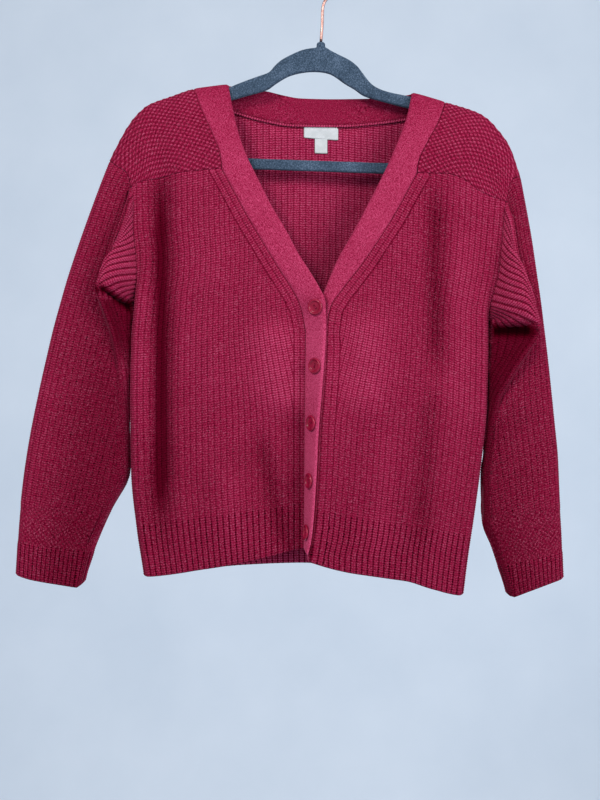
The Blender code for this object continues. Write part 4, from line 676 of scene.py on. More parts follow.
def yoke_grid(side):
    """Points of a yoke: shares run from neck to armhole, rows from front seam (0) over the shoulder (0.5)
    to the back seam (1)."""
    rows = SIDES[side]
    share, row = np.meshgrid(YOKE_SHARES, YOKE_ROWS, indexing="ij")
    turn = 1 - 2 * row
    inner, outer = (0, -1) if rows["sign"] > 0 else (-1, 0)

    def seam_angle(x, seam, fall):
        drop = column(SHOULDER, "x", "height", x) - column(seam, "x", "height", x)
        return np.degrees(np.arccos(1 - np.clip(drop / fall, 0, 1)))

    def angle(x_front, x_back):
        front = turn * seam_angle(x_front, rows["yoke"], FRONT_FALL)
        return np.where(turn > 0, front, turn * seam_angle(x_back, rows["back_yoke"], BACK_FALL))

    neck, arm = (tuple(rows[seam]["x"][end] for seam in ("yoke", "back_yoke")) for end in (inner, outer))
    front, back_x_here = (start + (end - start) * share for start, end in zip(neck, arm))
    neck_x = column(rows["ends"], "angle", "neck_x", angle(*neck))
    arm_x = column(rows["ends"], "angle", "arm_x", angle(*arm))
    x = neck_x + (arm_x - neck_x) * share
    x = x + (np.where(turn > 0, front, back_x_here) - x) * np.clip(np.abs(turn), 0, 1) ** 4
    fall = np.where(turn > 0, FRONT_FALL, BACK_FALL)
    bend = np.radians(angle(front, back_x_here))
    height = column(SHOULDER, "x", "height", x) - fall * (1 - np.cos(bend))
    y = np.where(turn > 0, -front_depth(side, x, height), back_depth(x, height))
    return np.stack([x, y, height], axis=-1)


def through(points, steps=CURVE_STEPS):
    """A smooth open curve through points, with the same number of steps between each pair."""
    points = np.asarray(points, float)
    points = np.concatenate([[2 * points[0] - points[1]], points, [2 * points[-1] - points[-2]]])
    curve = []
    for before, start, end, after in zip(points, points[1:], points[2:], points[3:]):
        gap_a, gap_b, gap_c = (
            max(np.linalg.norm(run), 1e-6) ** 0.5 for run in (start - before, end - start, after - end)
        )
        lean_a = gap_b * (
            (start - before) / gap_a - (end - before) / (gap_a + gap_b) + (end - start) / gap_b
        )
        lean_b = gap_b * ((end - start) / gap_b - (after - start) / (gap_b + gap_c) + (after - end) / gap_c)
        for t in np.arange(steps) / steps:
            curve.append(
                start * (2 * t**3 - 3 * t**2 + 1) + lean_a * (t**3 - 2 * t**2 + t)
                + end * (3 * t**2 - 2 * t**3) + lean_b * (t**3 - t**2)
            )
    return np.array(curve + [points[-2]])


def ring_curves(side, ring):
    """A sleeve ring in three open curves: outer edge to fold foot, fold ridge to underarm, and the back layer
    from the outer edge to the underarm."""
    rows = SIDES[side]["rings"]
    keys = np.arange(1, len(rows["top_z"]) + 1)
    at = {name: float(smooth(keys, rows[name], ring)) for name in rows}

    def point(name, depth=None):
        deep = at[name + "_d"] if depth is None else depth
        return np.array([SIDES[side]["sign"] * at[name + "_out"], -deep, at[name + "_z"]])

    def rounded(edge, toward, depth):
        way = (toward - edge) * (1, 0, 1)
        way = way / np.linalg.norm(way)
        bends = []
        for distance, of_edge, of_layer in EDGE_BEND:
            bends.append(edge + way * distance)
            bends[-1][1] = edge[1] * of_edge + depth * of_layer
        return bends

    def stops(start, end, shares):
        return [(start + (end - start) * share) * (1, 0, 1) + (0, RING_BACK, 0) for share in shares]

    top = point("top", 0.0)
    apex, under = point("apex"), point("under")
    back = point("back", -RING_BACK)
    outer = [top] + rounded(top, apex, apex[1]) + [apex, point("foot")]
    flap = [point("ridge"), point("flap"), point("lip"), under]
    back_line = [top] + rounded(top, back, RING_BACK) + stops(top, back, BACK_STOPS[0]) + [back]
    back_line += stops(back, under, BACK_STOPS[1]) + rounded(under, back, RING_BACK)[::-1] + [under]
    return through(outer), through(flap), through(back_line)


def spaced(line, distances):
    """Points along a line; those that would crowd an end, or pass it, lie on the end itself."""
    along = lengths(line)
    distances = np.where(distances < RIB_CROWD, 0.0, distances)
    distances = np.where(distances > along[-1] - RIB_CROWD, along[-1], distances)
    return read_line(distances, along, line)


def sleeve_ring(side, ring, armhole):
    """The points of one ring: underarm, back, outer edge, front, underarm."""
    step = 0.5 / SLEEVE_FINER
    outer_ribs, flap_ribs, back_ribs = (
        np.arange(0, ribs + step / 2, step) for ribs in (OUTER_RIBS, FLAP_RIBS, BACK_RIBS)
    )
    least = 0.0
    if ring == 0:
        outer, flap, back = armhole
        outer_pitch = lengths(outer)[-1] / TOP_RIBS
        back_pitch = lengths(back)[-1] / BACK_RIBS
        lip = np.interp(-SIDES[side]["lip"], -flap[:, 2], lengths(flap))
    else:
        outer, flap, back = ring_curves(side, ring)
        outer_least, back_least = (float(column(RIB_SPACING, "ring", name, ring)) for name in ("outer", "back"))
        outer_pitch = max(outer_least, lengths(outer)[-1] / OUTER_RIBS)
        back_pitch = max(back_least, lengths(back)[-1] / BACK_RIBS)
        lip = lengths(flap)[2 * CURVE_STEPS] if ring <= LAST_FLAP_RING else 0.0
        least = outer_least if ring > LAST_FLAP_RING else 0.0
    above = lip - (LIP_RIB - flap_ribs) * max(FLAP_PITCH, lip / LIP_RIB)
    below_pitch = max(least, (lengths(flap)[-1] - lip) / (FLAP_RIBS - LIP_RIB))
    flap_at = np.where(flap_ribs < LIP_RIB, above, lip + (flap_ribs - LIP_RIB) * below_pitch)
    outer = spaced(outer, outer_ribs * outer_pitch)
    flap = spaced(flap, flap_at)
    back = spaced(back, back_ribs * back_pitch)
    shares = np.arange(step, CLIFF_RIBS, step) / CLIFF_RIBS
    cliff = [outer[-1] + (flap[0] - outer[-1]) * share for share in shares]
    return np.concatenate([back[::-1], outer[1:], cliff, flap])


def sleeve_grid(side, armhole):
    """The sleeve's points, with SLEEVE_STEPS rows from each ring to the next."""
    last = len(SIDES[side]["rings"]["top_z"])
    found = np.stack([sleeve_ring(side, ring, armhole) for ring in range(last + 1)], axis=0)
    at = np.arange(last * SLEEVE_STEPS + 1) / SLEEVE_STEPS
    return smooth(np.arange(last + 1), found, at).transpose(1, 0, 2)


def row_tangents(line, wrap):
    """Directions along one row of points; points that coincide share the direction across all of them."""
    gaps = np.linalg.norm(np.diff(line, axis=0), axis=1)
    starts = np.concatenate([[0], np.flatnonzero(gaps > NEAR) + 1])
    places = line[starts]
    group = np.searchsorted(starts, np.arange(len(line)), side="right") - 1
    ahead = normalised(np.diff(places, axis=0))
    before = np.concatenate([ahead[-1:] if wrap else ahead[:1], ahead])
    after = np.concatenate([ahead, ahead[:1] if wrap else ahead[-1:]])
    if wrap and np.linalg.norm(places[0] - places[-1]) > NEAR:
        closing = normalised(places[:1] - places[-1:])
        before[0] = closing
        after[-1] = closing
    return normalised(before + after + 1e-6 * ahead[0])[group]


def facing(grid, wrap=False):
    """Unit normals of a grid of points, from the crossing of its two directions."""
    along = np.stack([row_tangents(grid[:, row], wrap) for row in range(grid.shape[1])], axis=1)
    step = np.diff(grid, axis=1)
    size = np.linalg.norm(step, axis=-1, keepdims=True)
    step = np.where(size > NEAR, step / np.maximum(size, 1e-9), 0)
    up = np.concatenate([step[:, :1], step], axis=1) + np.concatenate([step, step[:, -1:]], axis=1)
    return normalised(np.cross(along, up))


def pull_in(grid, by, start_column=False, end_column=False, start_row=False, end_row=False):
    """Moves the named edges of a grid inward by a distance."""
    grid = grid.copy()
    lines = grid.transpose(1, 0, 2)
    for wanted, rows, edge, inner in (
        (start_column, grid, 0, 1), (end_column, grid, -1, -2), (start_row, lines, 0, 1), (end_row, lines, -1, -2)
    ):
        if wanted:
            way = rows[inner] - rows[edge]
            size = np.maximum(np.linalg.norm(way, axis=-1, keepdims=True), 1e-9)
            rows[edge] = rows[edge] + way / size * by
    return grid


# A wall is a list of two grids: the points of its plain inside, and the way the wall faces at each. A place on a
# seam is (wall, column, row).


def wall_rows(low, under, top, below=54, above=26):
    """Shares of a wall's height for its rows, with one row at the underarm."""
    split = (under - low) / (top - low)
    return np.concatenate([np.linspace(0, split, below), np.linspace(split, 1, above)[1:]])


def square_side(wall, edge, side):
    """Makes a wall face straight sideways along a side seam, so that front and back meet squarely."""
    grid, normals = wall
    normals[edge, grid[edge, :, 2] < UNDERARM[side] + 1] = (SIDES[side]["sign"], 0.0, 0.0)


def front_wall(side):
    rows = SIDES[side]
    hem = float(column(rows["hem"], "x", "height", side_x(side, HEM_LEVEL)))
    top = float(front_top(side, np.array([0.0]))[0])
    ribs = np.arange(rows["ribs"] * FRONT_PER_RIB + 1) / FRONT_PER_RIB
    rib, row = np.meshgrid(ribs, wall_rows(hem, UNDERARM[side], top), indexing="ij")
    upper = front_top(side, rib)
    lower = column(rows["hem"], "x", "height", front_x(side, rib, np.full(rib.shape, HEM_LEVEL)))
    grid = front_point(side, rib, lower + (upper - lower) * row)
    wall = [grid, -rows["sign"] * facing(grid)]
    square_side(wall, 0, side)
    return wall


def back_rows(side):
    hem = float(column(BACK_HEM, "x", "height", side_x(side, HEM_LEVEL)))
    top = float(back_top(np.array([0.0 if side == "right" else float(RIBS_BACK)]))[0])
    return wall_rows(hem, UNDERARM[side], top)


def back_wall():
    ribs = np.arange(RIBS_BACK * BACK_PER_RIB + 1) / BACK_PER_RIB
    share = (ribs / RIBS_BACK)[:, None]
    rows = back_rows("right")[None, :] * (1 - share) + back_rows("left")[None, :] * share
    rib = np.repeat(ribs[:, None], rows.shape[1], axis=1)
    upper = back_top(rib)
    lower = column(BACK_HEM, "x", "height", back_x(rib, np.full(rib.shape, HEM_LEVEL)))
    grid = back_point(rib, lower + (upper - lower) * rows)
    wall = [grid, -facing(grid)]
    square_side(wall, 0, "right")
    square_side(wall, -1, "left")
    return wall


def yoke_wall(side):
    grid = yoke_grid(side)
    return [grid, facing(grid) * SIDES[side]["sign"]]


def armhole(side, front, yoke, back):
    """The armhole's front and back halves, from the shoulder to the underarm, as places in the body's walls."""
    middle = len(YOKE_ROWS) // 2
    halves = []
    for wall, edge, yoke_rows in (
        (front, 0, range(middle, 0, -1)),
        (back, 0 if side == "right" else -1, range(middle, len(YOKE_ROWS) - 1)),
    ):
        down = range(wall[0].shape[1] - 1, -1, -1)
        body = [(wall, edge, row) for row in down if wall[0][edge, row, 2] > UNDERARM[side] - 1]
        halves.append([(yoke, -1, row) for row in yoke_rows] + body)
    return halves


def along_seam(places, which):
    """The points (0) or facings (1) of places on a seam."""
    return np.array([wall[which][c, r] for wall, c, r in places])


def set_facing(places, values):
    for (wall, c, r), value in zip(places, values):
        wall[1][c, r] = value


def mitre(first, second):
    """The direction two walls share where they meet, lengthened so that each keeps its thickness."""
    meeting = np.sum(first * second, axis=-1, keepdims=True)
    return (first + second) / np.maximum(1 + meeting, 0.5)


def share_facing(first, second):
    """Gives two edges that meet along a seam, listed from the same end, one shared facing."""
    shares = []
    for places in (first, second):
        reach = lengths(along_seam(places, 0))
        shares.append(reach / reach[-1])
    facings = [along_seam(places, 1) for places in (first, second)]
    for places, own, other in ((first, 0, 1), (second, 1, 0)):
        met = read_line(shares[own], shares[other], facings[other])
        set_facing(places, mitre(facings[own], normalised(met)))


def eased(normals, passes=2):
    """Normals averaged with their neighbours across and along the ribs."""
    for _ in range(passes):
        wide = np.concatenate([normals[-2:-1], normals, normals[1:2]])
        tall = np.concatenate([normals[:, :1], normals, normals[:, -1:]], axis=1)
        normals = normalised(4 * normals + (wide[:-2] + wide[2:]) + (tall[:, :-2] + tall[:, 2:]))
    return normals


def sleeve_wall(side, holes):
    """Points and facing of a sleeve; its first row and the armhole's edges get one shared facing."""
    front_line, back_line = (along_seam(places, 0) for places in holes)
    corner = np.flatnonzero(front_line[:, 2] < SIDES[side]["fold_start"])[0]
    grid = sleeve_grid(side, (front_line[: corner + 1], front_line[corner:], back_line))
    normals = facing(grid, wrap=True) * SIDES[side]["sign"]
    middle = round(2 * SLEEVE_FINER * BACK_RIBS)
    for places, line, own in (
        (holes[1], back_line, np.arange(middle, -1, -1)), (holes[0], front_line, np.arange(middle, len(grid)))
    ):
        on_line = lengths(line)
        own_line = np.clip(lengths(grid[own, 0]), 0, on_line[-1])
        own_line = own_line * on_line[-1] / own_line[-1]
        on_sleeve = read_line(on_line, own_line, normals[own, 0])
        shared = mitre(along_seam(places, 1), normalised(on_sleeve))
        set_facing(places, shared)
        normals[own, 0] = read_line(own_line, on_line, shared)
    normals[:, 1:] = eased(normals)[:, 1:]
    for row in range(grid.shape[1]):
        gaps = np.linalg.norm(np.diff(grid[:, row], axis=0), axis=1)
        for c in np.flatnonzero(gaps < NEAR):
            normals[c + 1, row] = normals[c, row]
            grid[c + 1, row] = grid[c, row]
    under_facing = normalised(normals[0] + normals[-1])
    for row in range(grid.shape[1]):
        for end in (0, -1):
            same = np.linalg.norm(grid[:, row] - grid[end, row], axis=-1) < NEAR
            normals[same, row] = under_facing[row]
    grid[-1] = grid[0]
    return [grid, normals]


def front_seam(side, front):
    """Places on a front from the hem up its placket seam and up the V to the yoke."""
    grid = front[0]
    top = grid.shape[1] - 1
    places = [(front, -1, row) for row in range(top + 1)]
    for c in range(grid.shape[0] - 2, 0, -2):
        if abs(grid[c, top, 0]) > v_corner(side) - 3:
            break
        places.append((front, c, top))
    return places


def v_corner(side):
    """How far from the middle the slanting neck seam meets the yoke."""
    return np.abs(SIDES[side]["slant"]["x"]).max()


def neck_seam(back):
    """Places on the back's neck seam from right to left, without its two ends."""
    low, high = BACK_NECK_SEAM["x"][0] + 5, BACK_NECK_SEAM["x"][-1] - 5
    return [(back, c, -1) for c in range(0, back[0].shape[0], 4) if low < back[0][c, -1, 0] < high]


def free_edge(side, point):
    """The band's free edge beside a seam point of a front."""
    x, _, height = point
    if height > PLACKET["height"][-1] + 3:
        names = ("free_depth", "free_x", "free_height")
        deep, free_x, free_z = (float(column(SIDES[side]["free"], "seam_x", name, x)) for name in names)
        return free_x, -deep, free_z
    seam_x, seam_depth, free_x, free_depth = (float(value) for value in top_band_edge(height))
    if side == "right":
        return free_x, -free_depth, height - 3
    facing_x, facing_depth = (float(value) for value in band_facing(height))
    return seam_x - facing_x * PLACKET_LAP, -(seam_depth - facing_depth * PLACKET_LAP), height


def neck_edge(side, row):
    """The band's free edge beside a row of a yoke's neck edge."""
    rows = SIDES[side]["shoulder"]
    turn = 1 - 2 * YOKE_ROWS[row]
    angle = turn * (rows["angle"][0] if turn > 0 else -rows["angle"][-1])
    return [float(column(rows, "angle", name, angle)) for name in ("free_x", "free_y", "free_height")]


def band_wall(fronts, yokes, back):
    """The band, from the right hem up, round the neck and down to the left hem, with its seams shared."""
    rights = front_seam("right", fronts["right"])
    lefts = front_seam("left", fronts["left"])[::-1]
    neck = neck_seam(back)
    shoulders = {side: [(yokes[side], 0, row) for row in range(len(YOKE_ROWS))] for side in SIDES}
    sections = [rights, shoulders["right"], neck, shoulders["left"][::-1], lefts]
    free = [free_edge("right", wall[0][c, r]) for wall, c, r in rights]
    free += [neck_edge("right", r) for _, _, r in shoulders["right"]]
    for _, c, _ in neck:
        x = back[0][c, -1, 0]
        free.append([float(column(BACK_FREE, "seam_x", name, x)) for name in ("free_x", "free_y", "free_height")])
    free += [neck_edge("left", r) for _, _, r in sections[3]]
    free += [free_edge("left", wall[0][c, r]) for wall, c, r in lefts]
    seam = np.concatenate([along_seam(places, 0) for places in sections])
    free = np.array(free, float)
    grid = np.stack([seam + (free - seam) * share for share in np.linspace(0, 1, BAND_COLUMNS)], axis=0)
    wall = [grid, facing(grid)]
    start = 0
    for places in sections:
        share_facing([(wall, 0, row) for row in range(start, start + len(places))], places)
        start += len(places)
    return wall


def share_yoke_seams(side, front, yoke, back):
    """Gives a yoke and the front and back below it one shared facing along their seams."""
    sign = SIDES[side]["sign"]
    from_arm = range(len(YOKE_SHARES) - 1, -1, -1)
    corner = v_corner(side)
    front_edge = [(front, c, -1) for c in range(front[0].shape[0]) if abs(front[0][c, -1, 0]) > corner]
    share_facing(front_edge, [(yoke, c, 0) for c in from_arm])
    neck = np.abs(SIDES[side]["back_yoke"]["x"]).min()
    back_edge = [(back, c, -1) for c in range(back[0].shape[0]) if back[0][c, -1, 0] * sign > neck]
    share_facing(back_edge[::-sign], [(yoke, c, -1) for c in from_arm])


def crowding(grid, per_rib):
    """1 where a wall's columns stand a full step apart, and 0 where they have run together."""
    gap = np.linalg.norm(np.diff(grid, axis=0), axis=-1)
    nearest = np.minimum(np.concatenate([gap[:1], gap]), np.concatenate([gap, gap[-1:]]))
    full = 4.6 / per_rib
    return blend01(0.35 * full, full, nearest)


def stitch_rows(grid, normals, per_rib):
    """A wall resampled at half stitches up each column, from its first row. Each stitch's legs slant, so rows
    zigzag across a rib. Returns points, facings, rib and row numbers, the distance to the last row and the
    fullness of the relief."""
    count = grid.shape[0]
    rib = np.arange(count) / per_rib
    lean = np.abs(2 * (rib % 1) - 1)
    room = crowding(grid, per_rib)
    reach = [lengths(line) for line in grid]
    longest = max(line[-1] for line in reach)
    steps = np.arange(0, math.ceil(2 * (longest / ROW + SLANT)) + 1) / 2
    points = np.empty((count, len(steps), 3))
    facings = np.empty(points.shape)
    at = np.empty(points.shape[:2])
    full = np.empty(points.shape[:2])
    for c in range(count):
        fade = np.interp(steps * ROW, reach[c], room[c])
        at[c] = np.clip((steps - SLANT * (1 - lean[c]) * fade) * ROW, 0, reach[c][-1])
        points[c] = read_line(at[c], reach[c], grid[c])
        facings[c] = read_line(at[c], reach[c], normals[c])
        full[c] = np.interp(at[c], reach[c], room[c])
    end = np.array([line[-1] for line in reach])[:, None]
    return points, facings, np.repeat(rib[:, None], len(steps), axis=1), at, end - at, full


def rib_relief(rib, rows, full=1.0, depth=1.0):
    """Height of ribs and their stitches over the grooves. Each rib is two legs with a slight dip between them."""
    lean = np.abs(2 * (rib % 1) - 1)
    crest = np.sin(np.pi * (rib % 1)) ** 0.7 * (1 - LEG_DIP * (1 - lean) ** 4)
    swell = np.cos(2 * np.pi * (rows + SLANT * (1 - lean)))
    return full * (depth * RIB_RISE * crest + STITCH_RISE * swell * crest)


def seed_relief(across_yoke, rows):
    """Height of seed stitch: a bump in every second place, like a draughtboard."""
    bump = np.sin(np.pi * across_yoke) * np.sin(np.pi * rows)
    return SEED_RISE * np.clip(bump, 0, 1) ** 0.8 - 0.1


def lowered(distance, near, far, least=0.35):
    """How much of the relief is left beside a seam."""
    return least + (1 - least) * blend01(near, far, distance)


def rounding(distance, reach=2.2):
    """How full the wall is near a free edge, so that its rim is rounded."""
    t = np.clip(distance / reach, 0, 1)
    return 0.45 + 0.55 * np.sqrt(1 - (1 - t) ** 2)


def add_object(name, data):
    piece = bpy.data.objects.new(name, data)
    bpy.context.scene.collection.objects.link(piece)
    return piece


def add_piece(name, spots, faces, materials, zones, marks, tones):
    """A piece from points, faces, the material number of each face, the knit marks of each face's corners and
    the tone at each point, which carries painted light and shade."""
    mesh = bpy.data.meshes.new(name)
    mesh.from_pydata(spots * MM, [], faces)
    mesh.uv_layers.new(name="Knit").uv.foreach_set("vector", marks.astype(np.float32).ravel())
    shade = mesh.attributes.new(name="Tone", type="FLOAT", domain="POINT")
    shade.data.foreach_set("value", tones.astype(np.float32))
    for material in materials:
        mesh.materials.append(material)
    mesh.polygons.foreach_set("material_index", np.array(zones, np.int32))
    work = bmesh.new()
    work.from_mesh(mesh)
    bmesh.ops.delete(work, geom=[v for v in work.verts if not v.link_faces], context="VERTS")
    bmesh.ops.recalc_face_normals(work, faces=work.faces)
    work.to_mesh(mesh)
    work.free()
    mesh.shade_smooth()
    return add_object(name, mesh)


def shell_faces(zones, skip, wrap):
    """Corner numbers and material of each face of a wall: all of its outside, then every skip-th column and row
    of its inside and the rims that join the two. Inside points are numbered on from the outside ones."""
    columns, rows = zones.shape[0] + 1, zones.shape[1] + 1
    top, end = rows - 1, columns - 1
    cols_in = sorted(set(range(0, columns, skip[0])) | {end})
    rows_in = sorted(set(range(0, rows, skip[1])) | {top})

    def out(c, r):
        return c * rows + r

    def inside(c, r):
        return columns * rows + c * rows + r

    places = [(c, r) for c in range(end) for r in range(top)]
    faces = [(out(c, r), out(c + 1, r), out(c + 1, r + 1), out(c, r + 1)) for c, r in places]
    zone_of = zones.reshape(-1).tolist()
    for a, b in zip(cols_in, cols_in[1:]):
        for low, high in zip(rows_in, rows_in[1:]):
            faces.append([inside(a, high), inside(b, high), inside(b, low), inside(a, low)])
            zone_of.append(int(zones[a, low]))
        faces.append([inside(a, 0), inside(b, 0)] + [out(c, 0) for c in range(b, a - 1, -1)])
        faces.append([inside(b, top), inside(a, top)] + [out(c, top) for c in range(a, b + 1)])
        zone_of += [int(zones[a, 0]), int(zones[a, -1])]
    if not wrap:
        for low, high in zip(rows_in, rows_in[1:]):
            faces.append([inside(0, low)] + [out(0, r) for r in range(low, high + 1)] + [inside(0, high)])
            down = [out(end, r) for r in range(high, low - 1, -1)]
            faces.append([inside(end, high)] + down + [inside(end, low)])
            zone_of += [int(zones[0, low]), int(zones[-1, low])]
    return faces, zone_of


def add_shell(name, outer, inner, marks, zones, materials, tone=1.0, inner_tone=1.0, skip=(3, 4), wrap=False):
    """A closed wall from the points of its outside and inside, with its points that coincide made one. marks are
    the rib and row numbers for the materials, zones the material of each face, and tone how much lighter or
    darker the yarn is painted at each point outside and inside, as painted light and shade."""
    size = marks.shape[0] * marks.shape[1]
    every = np.concatenate([outer.reshape(-1, 3), inner.reshape(-1, 3)])
    _, first, same = np.unique(np.round(every, 3), axis=0, return_index=True, return_inverse=True)
    same = same.reshape(-1).tolist()
    faces, zone_of = shell_faces(zones, skip, wrap)
    kept, kept_corners, kept_zones, outside = [], [], [], []
    seen = set()
    for corners, zone in zip(faces, zone_of):
        spots = {}
        for corner in corners:
            spots.setdefault(same[corner], corner)
        key = tuple(sorted(spots))
        if len(spots) > 2 and key not in seen:
            seen.add(key)
            kept.append(list(spots))
            kept_corners += spots.values()
            kept_zones.append(zone)
            outside.append(max(spots.values()) < size)
    spread = np.concatenate([marks.reshape(-1, 2)] * 2)[kept_corners]
    counts = [len(spots) for spots in kept]
    starts = np.cumsum([0] + counts)[:-1]
    span = np.maximum.reduceat(spread, starts, axis=0) - np.minimum.reduceat(spread, starts, axis=0)
    widest = np.where(outside, 1.0, INSIDE_SPAN)[:, None] * MARK_SPAN
    spread[np.repeat((span > widest).any(axis=1), counts)] = PLAIN_MARK
    tone = np.broadcast_to(tone, marks.shape[:2]).reshape(-1)
    tones = np.concatenate([tone, tone * inner_tone])[first]
    return add_piece(name, every[first], kept, materials, kept_zones, spread, tones)


def ring_faces(rings, sides):
    """Faces between rings of points."""
    faces = []
    for start in range(0, (rings - 1) * sides, sides):
        for i in range(sides):
            low, high = start + i, start + (i + 1) % sides
            faces.append((low, high, high + sides, low + sides))
    return faces


def sweep(path, radii, sides=10):
    """Points and faces of a round cord along a path."""
    path = np.asarray(path, float)
    ways = normalised(np.gradient(path, axis=0))
    over = np.cross(ways[0], (0.31, 0.85, 0.42))
    turns = np.linspace(0, 2 * np.pi, sides, endpoint=False)
    rings = []
    for point, way, radius in zip(path, ways, np.broadcast_to(radii, len(path))):
        over = over - way * np.dot(over, way)
        over = over / np.linalg.norm(over)
        other = np.cross(way, over)
        rings.append(point + radius * (np.cos(turns)[:, None] * over + np.sin(turns)[:, None] * other))
    size = len(path) * sides
    caps = [tuple(range(sides))[::-1], tuple(range(size - sides, size))]
    return np.concatenate(rings), ring_faces(len(path), sides) + caps


def build(name, parts, materials, tone=1.0):
    """One piece from parts of (points, faces, material number), with even knit marks and tone."""
    spots, faces, zones = [], [], []
    reached = 0
    for points, corners, zone in parts:
        spots.append(np.asarray(points, float))
        faces += [tuple(reached + corner for corner in face) for face in corners]
        zones += [zone] * len(corners)
        reached += len(points)
    marks = np.tile(PLAIN_MARK, sum(len(face) for face in faces))
    return add_piece(name, np.concatenate(spots), faces, materials, zones, marks, np.full(reached, tone))


def declare(piece, node):
    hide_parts(node)
    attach(piece, "root")


def declare_cloth(piece, node):
    declare(piece, node)


class Maths:
    """Adds math nodes to a material and returns their outputs."""

    def __init__(self, shader, tree):
        self.shader = shader
        self.tree = tree

    def node(self, kind, links=(), **values):
        """A node with links to some sockets, as (socket, output) pairs, and values set on others."""
        node = self.tree.nodes.new(kind)
        for socket, output in links:
            self.tree.links.new(output, node.inputs[socket])
        for socket, value in values.items():
            node.inputs[socket.replace("_", " ")].default_value = value
        return node

    def __call__(self, operation, *values):
        node = self.node("ShaderNodeMath")
        node.operation = operation
        for socket, value in zip(node.inputs, values):
            if isinstance(value, (int, float)):
                socket.default_value = value
            else:
                self.tree.links.new(value, socket)
        return node.outputs[0]

    def times(self, *values):
        """The product of two values or more."""
        total = values[0]
        for value in values[1:]:
            total = self("MULTIPLY", total, value)
        return total

    def ramp(self, value, low, high):
        node = self.node("ShaderNodeMapRange", [("Value", value)], From_Min=low, From_Max=high)
        node.interpolation_type = "SMOOTHSTEP"
        return node.outputs["Result"]

    def noise(self, scale, detail=2.0):
        """Noise at the object's own coordinates in metres."""
        node = self.node("ShaderNodeTexNoise", [("Vector", self.own())], Scale=scale, Detail=detail)
        return node.outputs["Fac"]

    def own(self):
        return self.node("ShaderNodeTexCoord").outputs["Object"]

    def split(self, vector):
        return self.node("ShaderNodeSeparateXYZ", [(0, vector)]).outputs

    def mix(self, share, first, second):
        node = self.node("ShaderNodeMix")
        node.data_type = "RGBA"
        self.tree.links.new(share, node.inputs["Factor"])
        self.tree.links.new(first, node.inputs[6])
        node.inputs[7].default_value = (*second, 1.0)
        return node.outputs[2]

    def colours(self, value, *stops):
        node = self.node("ShaderNodeValToRGB", [("Fac", value)])
        points = node.color_ramp.elements
        while len(points) < len(stops):
            points.new(0.5)
        for point, (place, colour) in zip(points, stops):
            point.position = place
            point.color = (*colour, 1.0)
        return node.outputs["Color"]

    def paint(self, colour):
        self.tree.links.new(colour, self.shader.inputs["Base Color"])

    def bump(self, height, distance, strength=1.0):
        node = self.node("ShaderNodeBump", [("Height", height)], Strength=strength, Distance=distance)
        self.tree.links.new(node.outputs["Normal"], self.shader.inputs["Normal"])

    def set(self, **values):
        """Sets values on the shader's own sockets."""
        for socket, value in values.items():
            self.shader.inputs[socket.replace("_", " ")].default_value = value


def new_material(name, roughness, metallic=0.0):
    material = bpy.data.materials.new(name)
    material.use_nodes = True
    maths = Maths(material.node_tree.nodes["Principled BSDF"], material.node_tree)
    maths.set(Roughness=roughness, Metallic=metallic)
    return material, maths


def knit_marks(maths):
    """The knit's rib and row numbers, and the tone, which carries painted light and shade."""
    marks = maths.node("ShaderNodeUVMap")
    marks.uv_map = "Knit"
    rib, row, _ = maths.split(marks.outputs["UV"])
    shade = maths.node("ShaderNodeAttribute")
    shade.attribute_name = "Tone"
    return rib, row, shade.outputs["Fac"]


def finish_cloth(maths, light, tone, bump_depth, grain=0.85, fuzz=0.34):
    """Colour from how far a place stands out of the stitches, as painted shade in the gaps and painted light on
    the stitches, times the tone with its painted light and shade, with painted sheen specks of fuzz on the lit
    parts, fine fibre bump and a wool sheen.
    """
    mottle = maths.noise(22.0, 3.0)
    fibre = maths.noise(900.0, 3.0)
    level = maths("ADD", light, maths.times(maths("SUBTRACT", mottle, 0.5), 0.16))
    speckle = maths.times(maths("SUBTRACT", fibre, 0.5), grain, maths.ramp(tone, 0.0, 0.5))
    level = maths("ADD", maths.times(level, tone), speckle)
    colour = maths.colours(level, (0.0, GAP_SHADOW), (0.06, DEEP), (0.45, MIDDLE), (1.0, BRIGHT))
    # Painted sheen: specks of fuzz shown only where the stitches and the tone are lit
    sheen_specks = maths.ramp(maths.noise(760.0), 0.50, 0.72)
    lit_share = maths.times(maths.ramp(light, 0.1, 0.5), maths.ramp(tone, 0.15, 0.6))
    maths.paint(maths.mix(maths.times(maths.times(sheen_specks, lit_share), fuzz), colour, FUZZ_SHEEN))
    maths.bump(maths("ADD", light, maths.times(fibre, 0.35)), bump_depth)
    maths.set(Sheen_Weight=0.16, Sheen_Roughness=0.35, Sheen_Tint=WOOL_SHEEN, Specular_IOR_Level=0.0)


def stitches(maths, rib, row, slant):
    """How far a place leans from a rib's middle (0) to its groove (1), and how near it is to a stitch's middle:
    each rib has two slanting legs side by side."""
    lean = maths("ABSOLUTE", maths("SUBTRACT", maths.times(maths("FRACT", rib), 2.0), 1.0))
    phase = maths("ADD", row, maths.times(maths("SUBTRACT", 1.0, lean), slant))
    phase = maths("ADD", phase, maths.times(maths.noise(160.0), 0.6))
    wave = maths("COSINE", maths.times(phase, 2 * math.pi))
    return lean, maths("ADD", maths.times(wave, 0.5), 0.5)


def rib_wool(name, groove=0.12):
    """Raised ribs of slanting stitches: painted light on the legs and painted shade in the gaps between ribs,
    legs and stitches; groove is how much painted shade the grooves get.
    """
    material, maths = new_material(name, 0.92)
    rib, row, tone = knit_marks(maths)
    lean, stitch = stitches(maths, rib, row, SLANT)
    beside = maths.times(maths("ABSOLUTE", maths("SUBTRACT", lean, 0.5)), 2.0)
    ridge = maths("SUBTRACT", 1.0, maths.ramp(beside, 0.1, 1.0))
    legs = maths.times(maths.times(stitch, 0.34), maths("ADD", 0.5, maths.times(ridge, 0.5)))
    # Painted shade in the grooves between ribs
    sunk = maths.times(maths.ramp(lean, 0.5, 1.0), groove)
    finish_cloth(maths, maths("SUBTRACT", maths("ADD", 0.31, legs), sunk), tone, 0.0008)
    return material


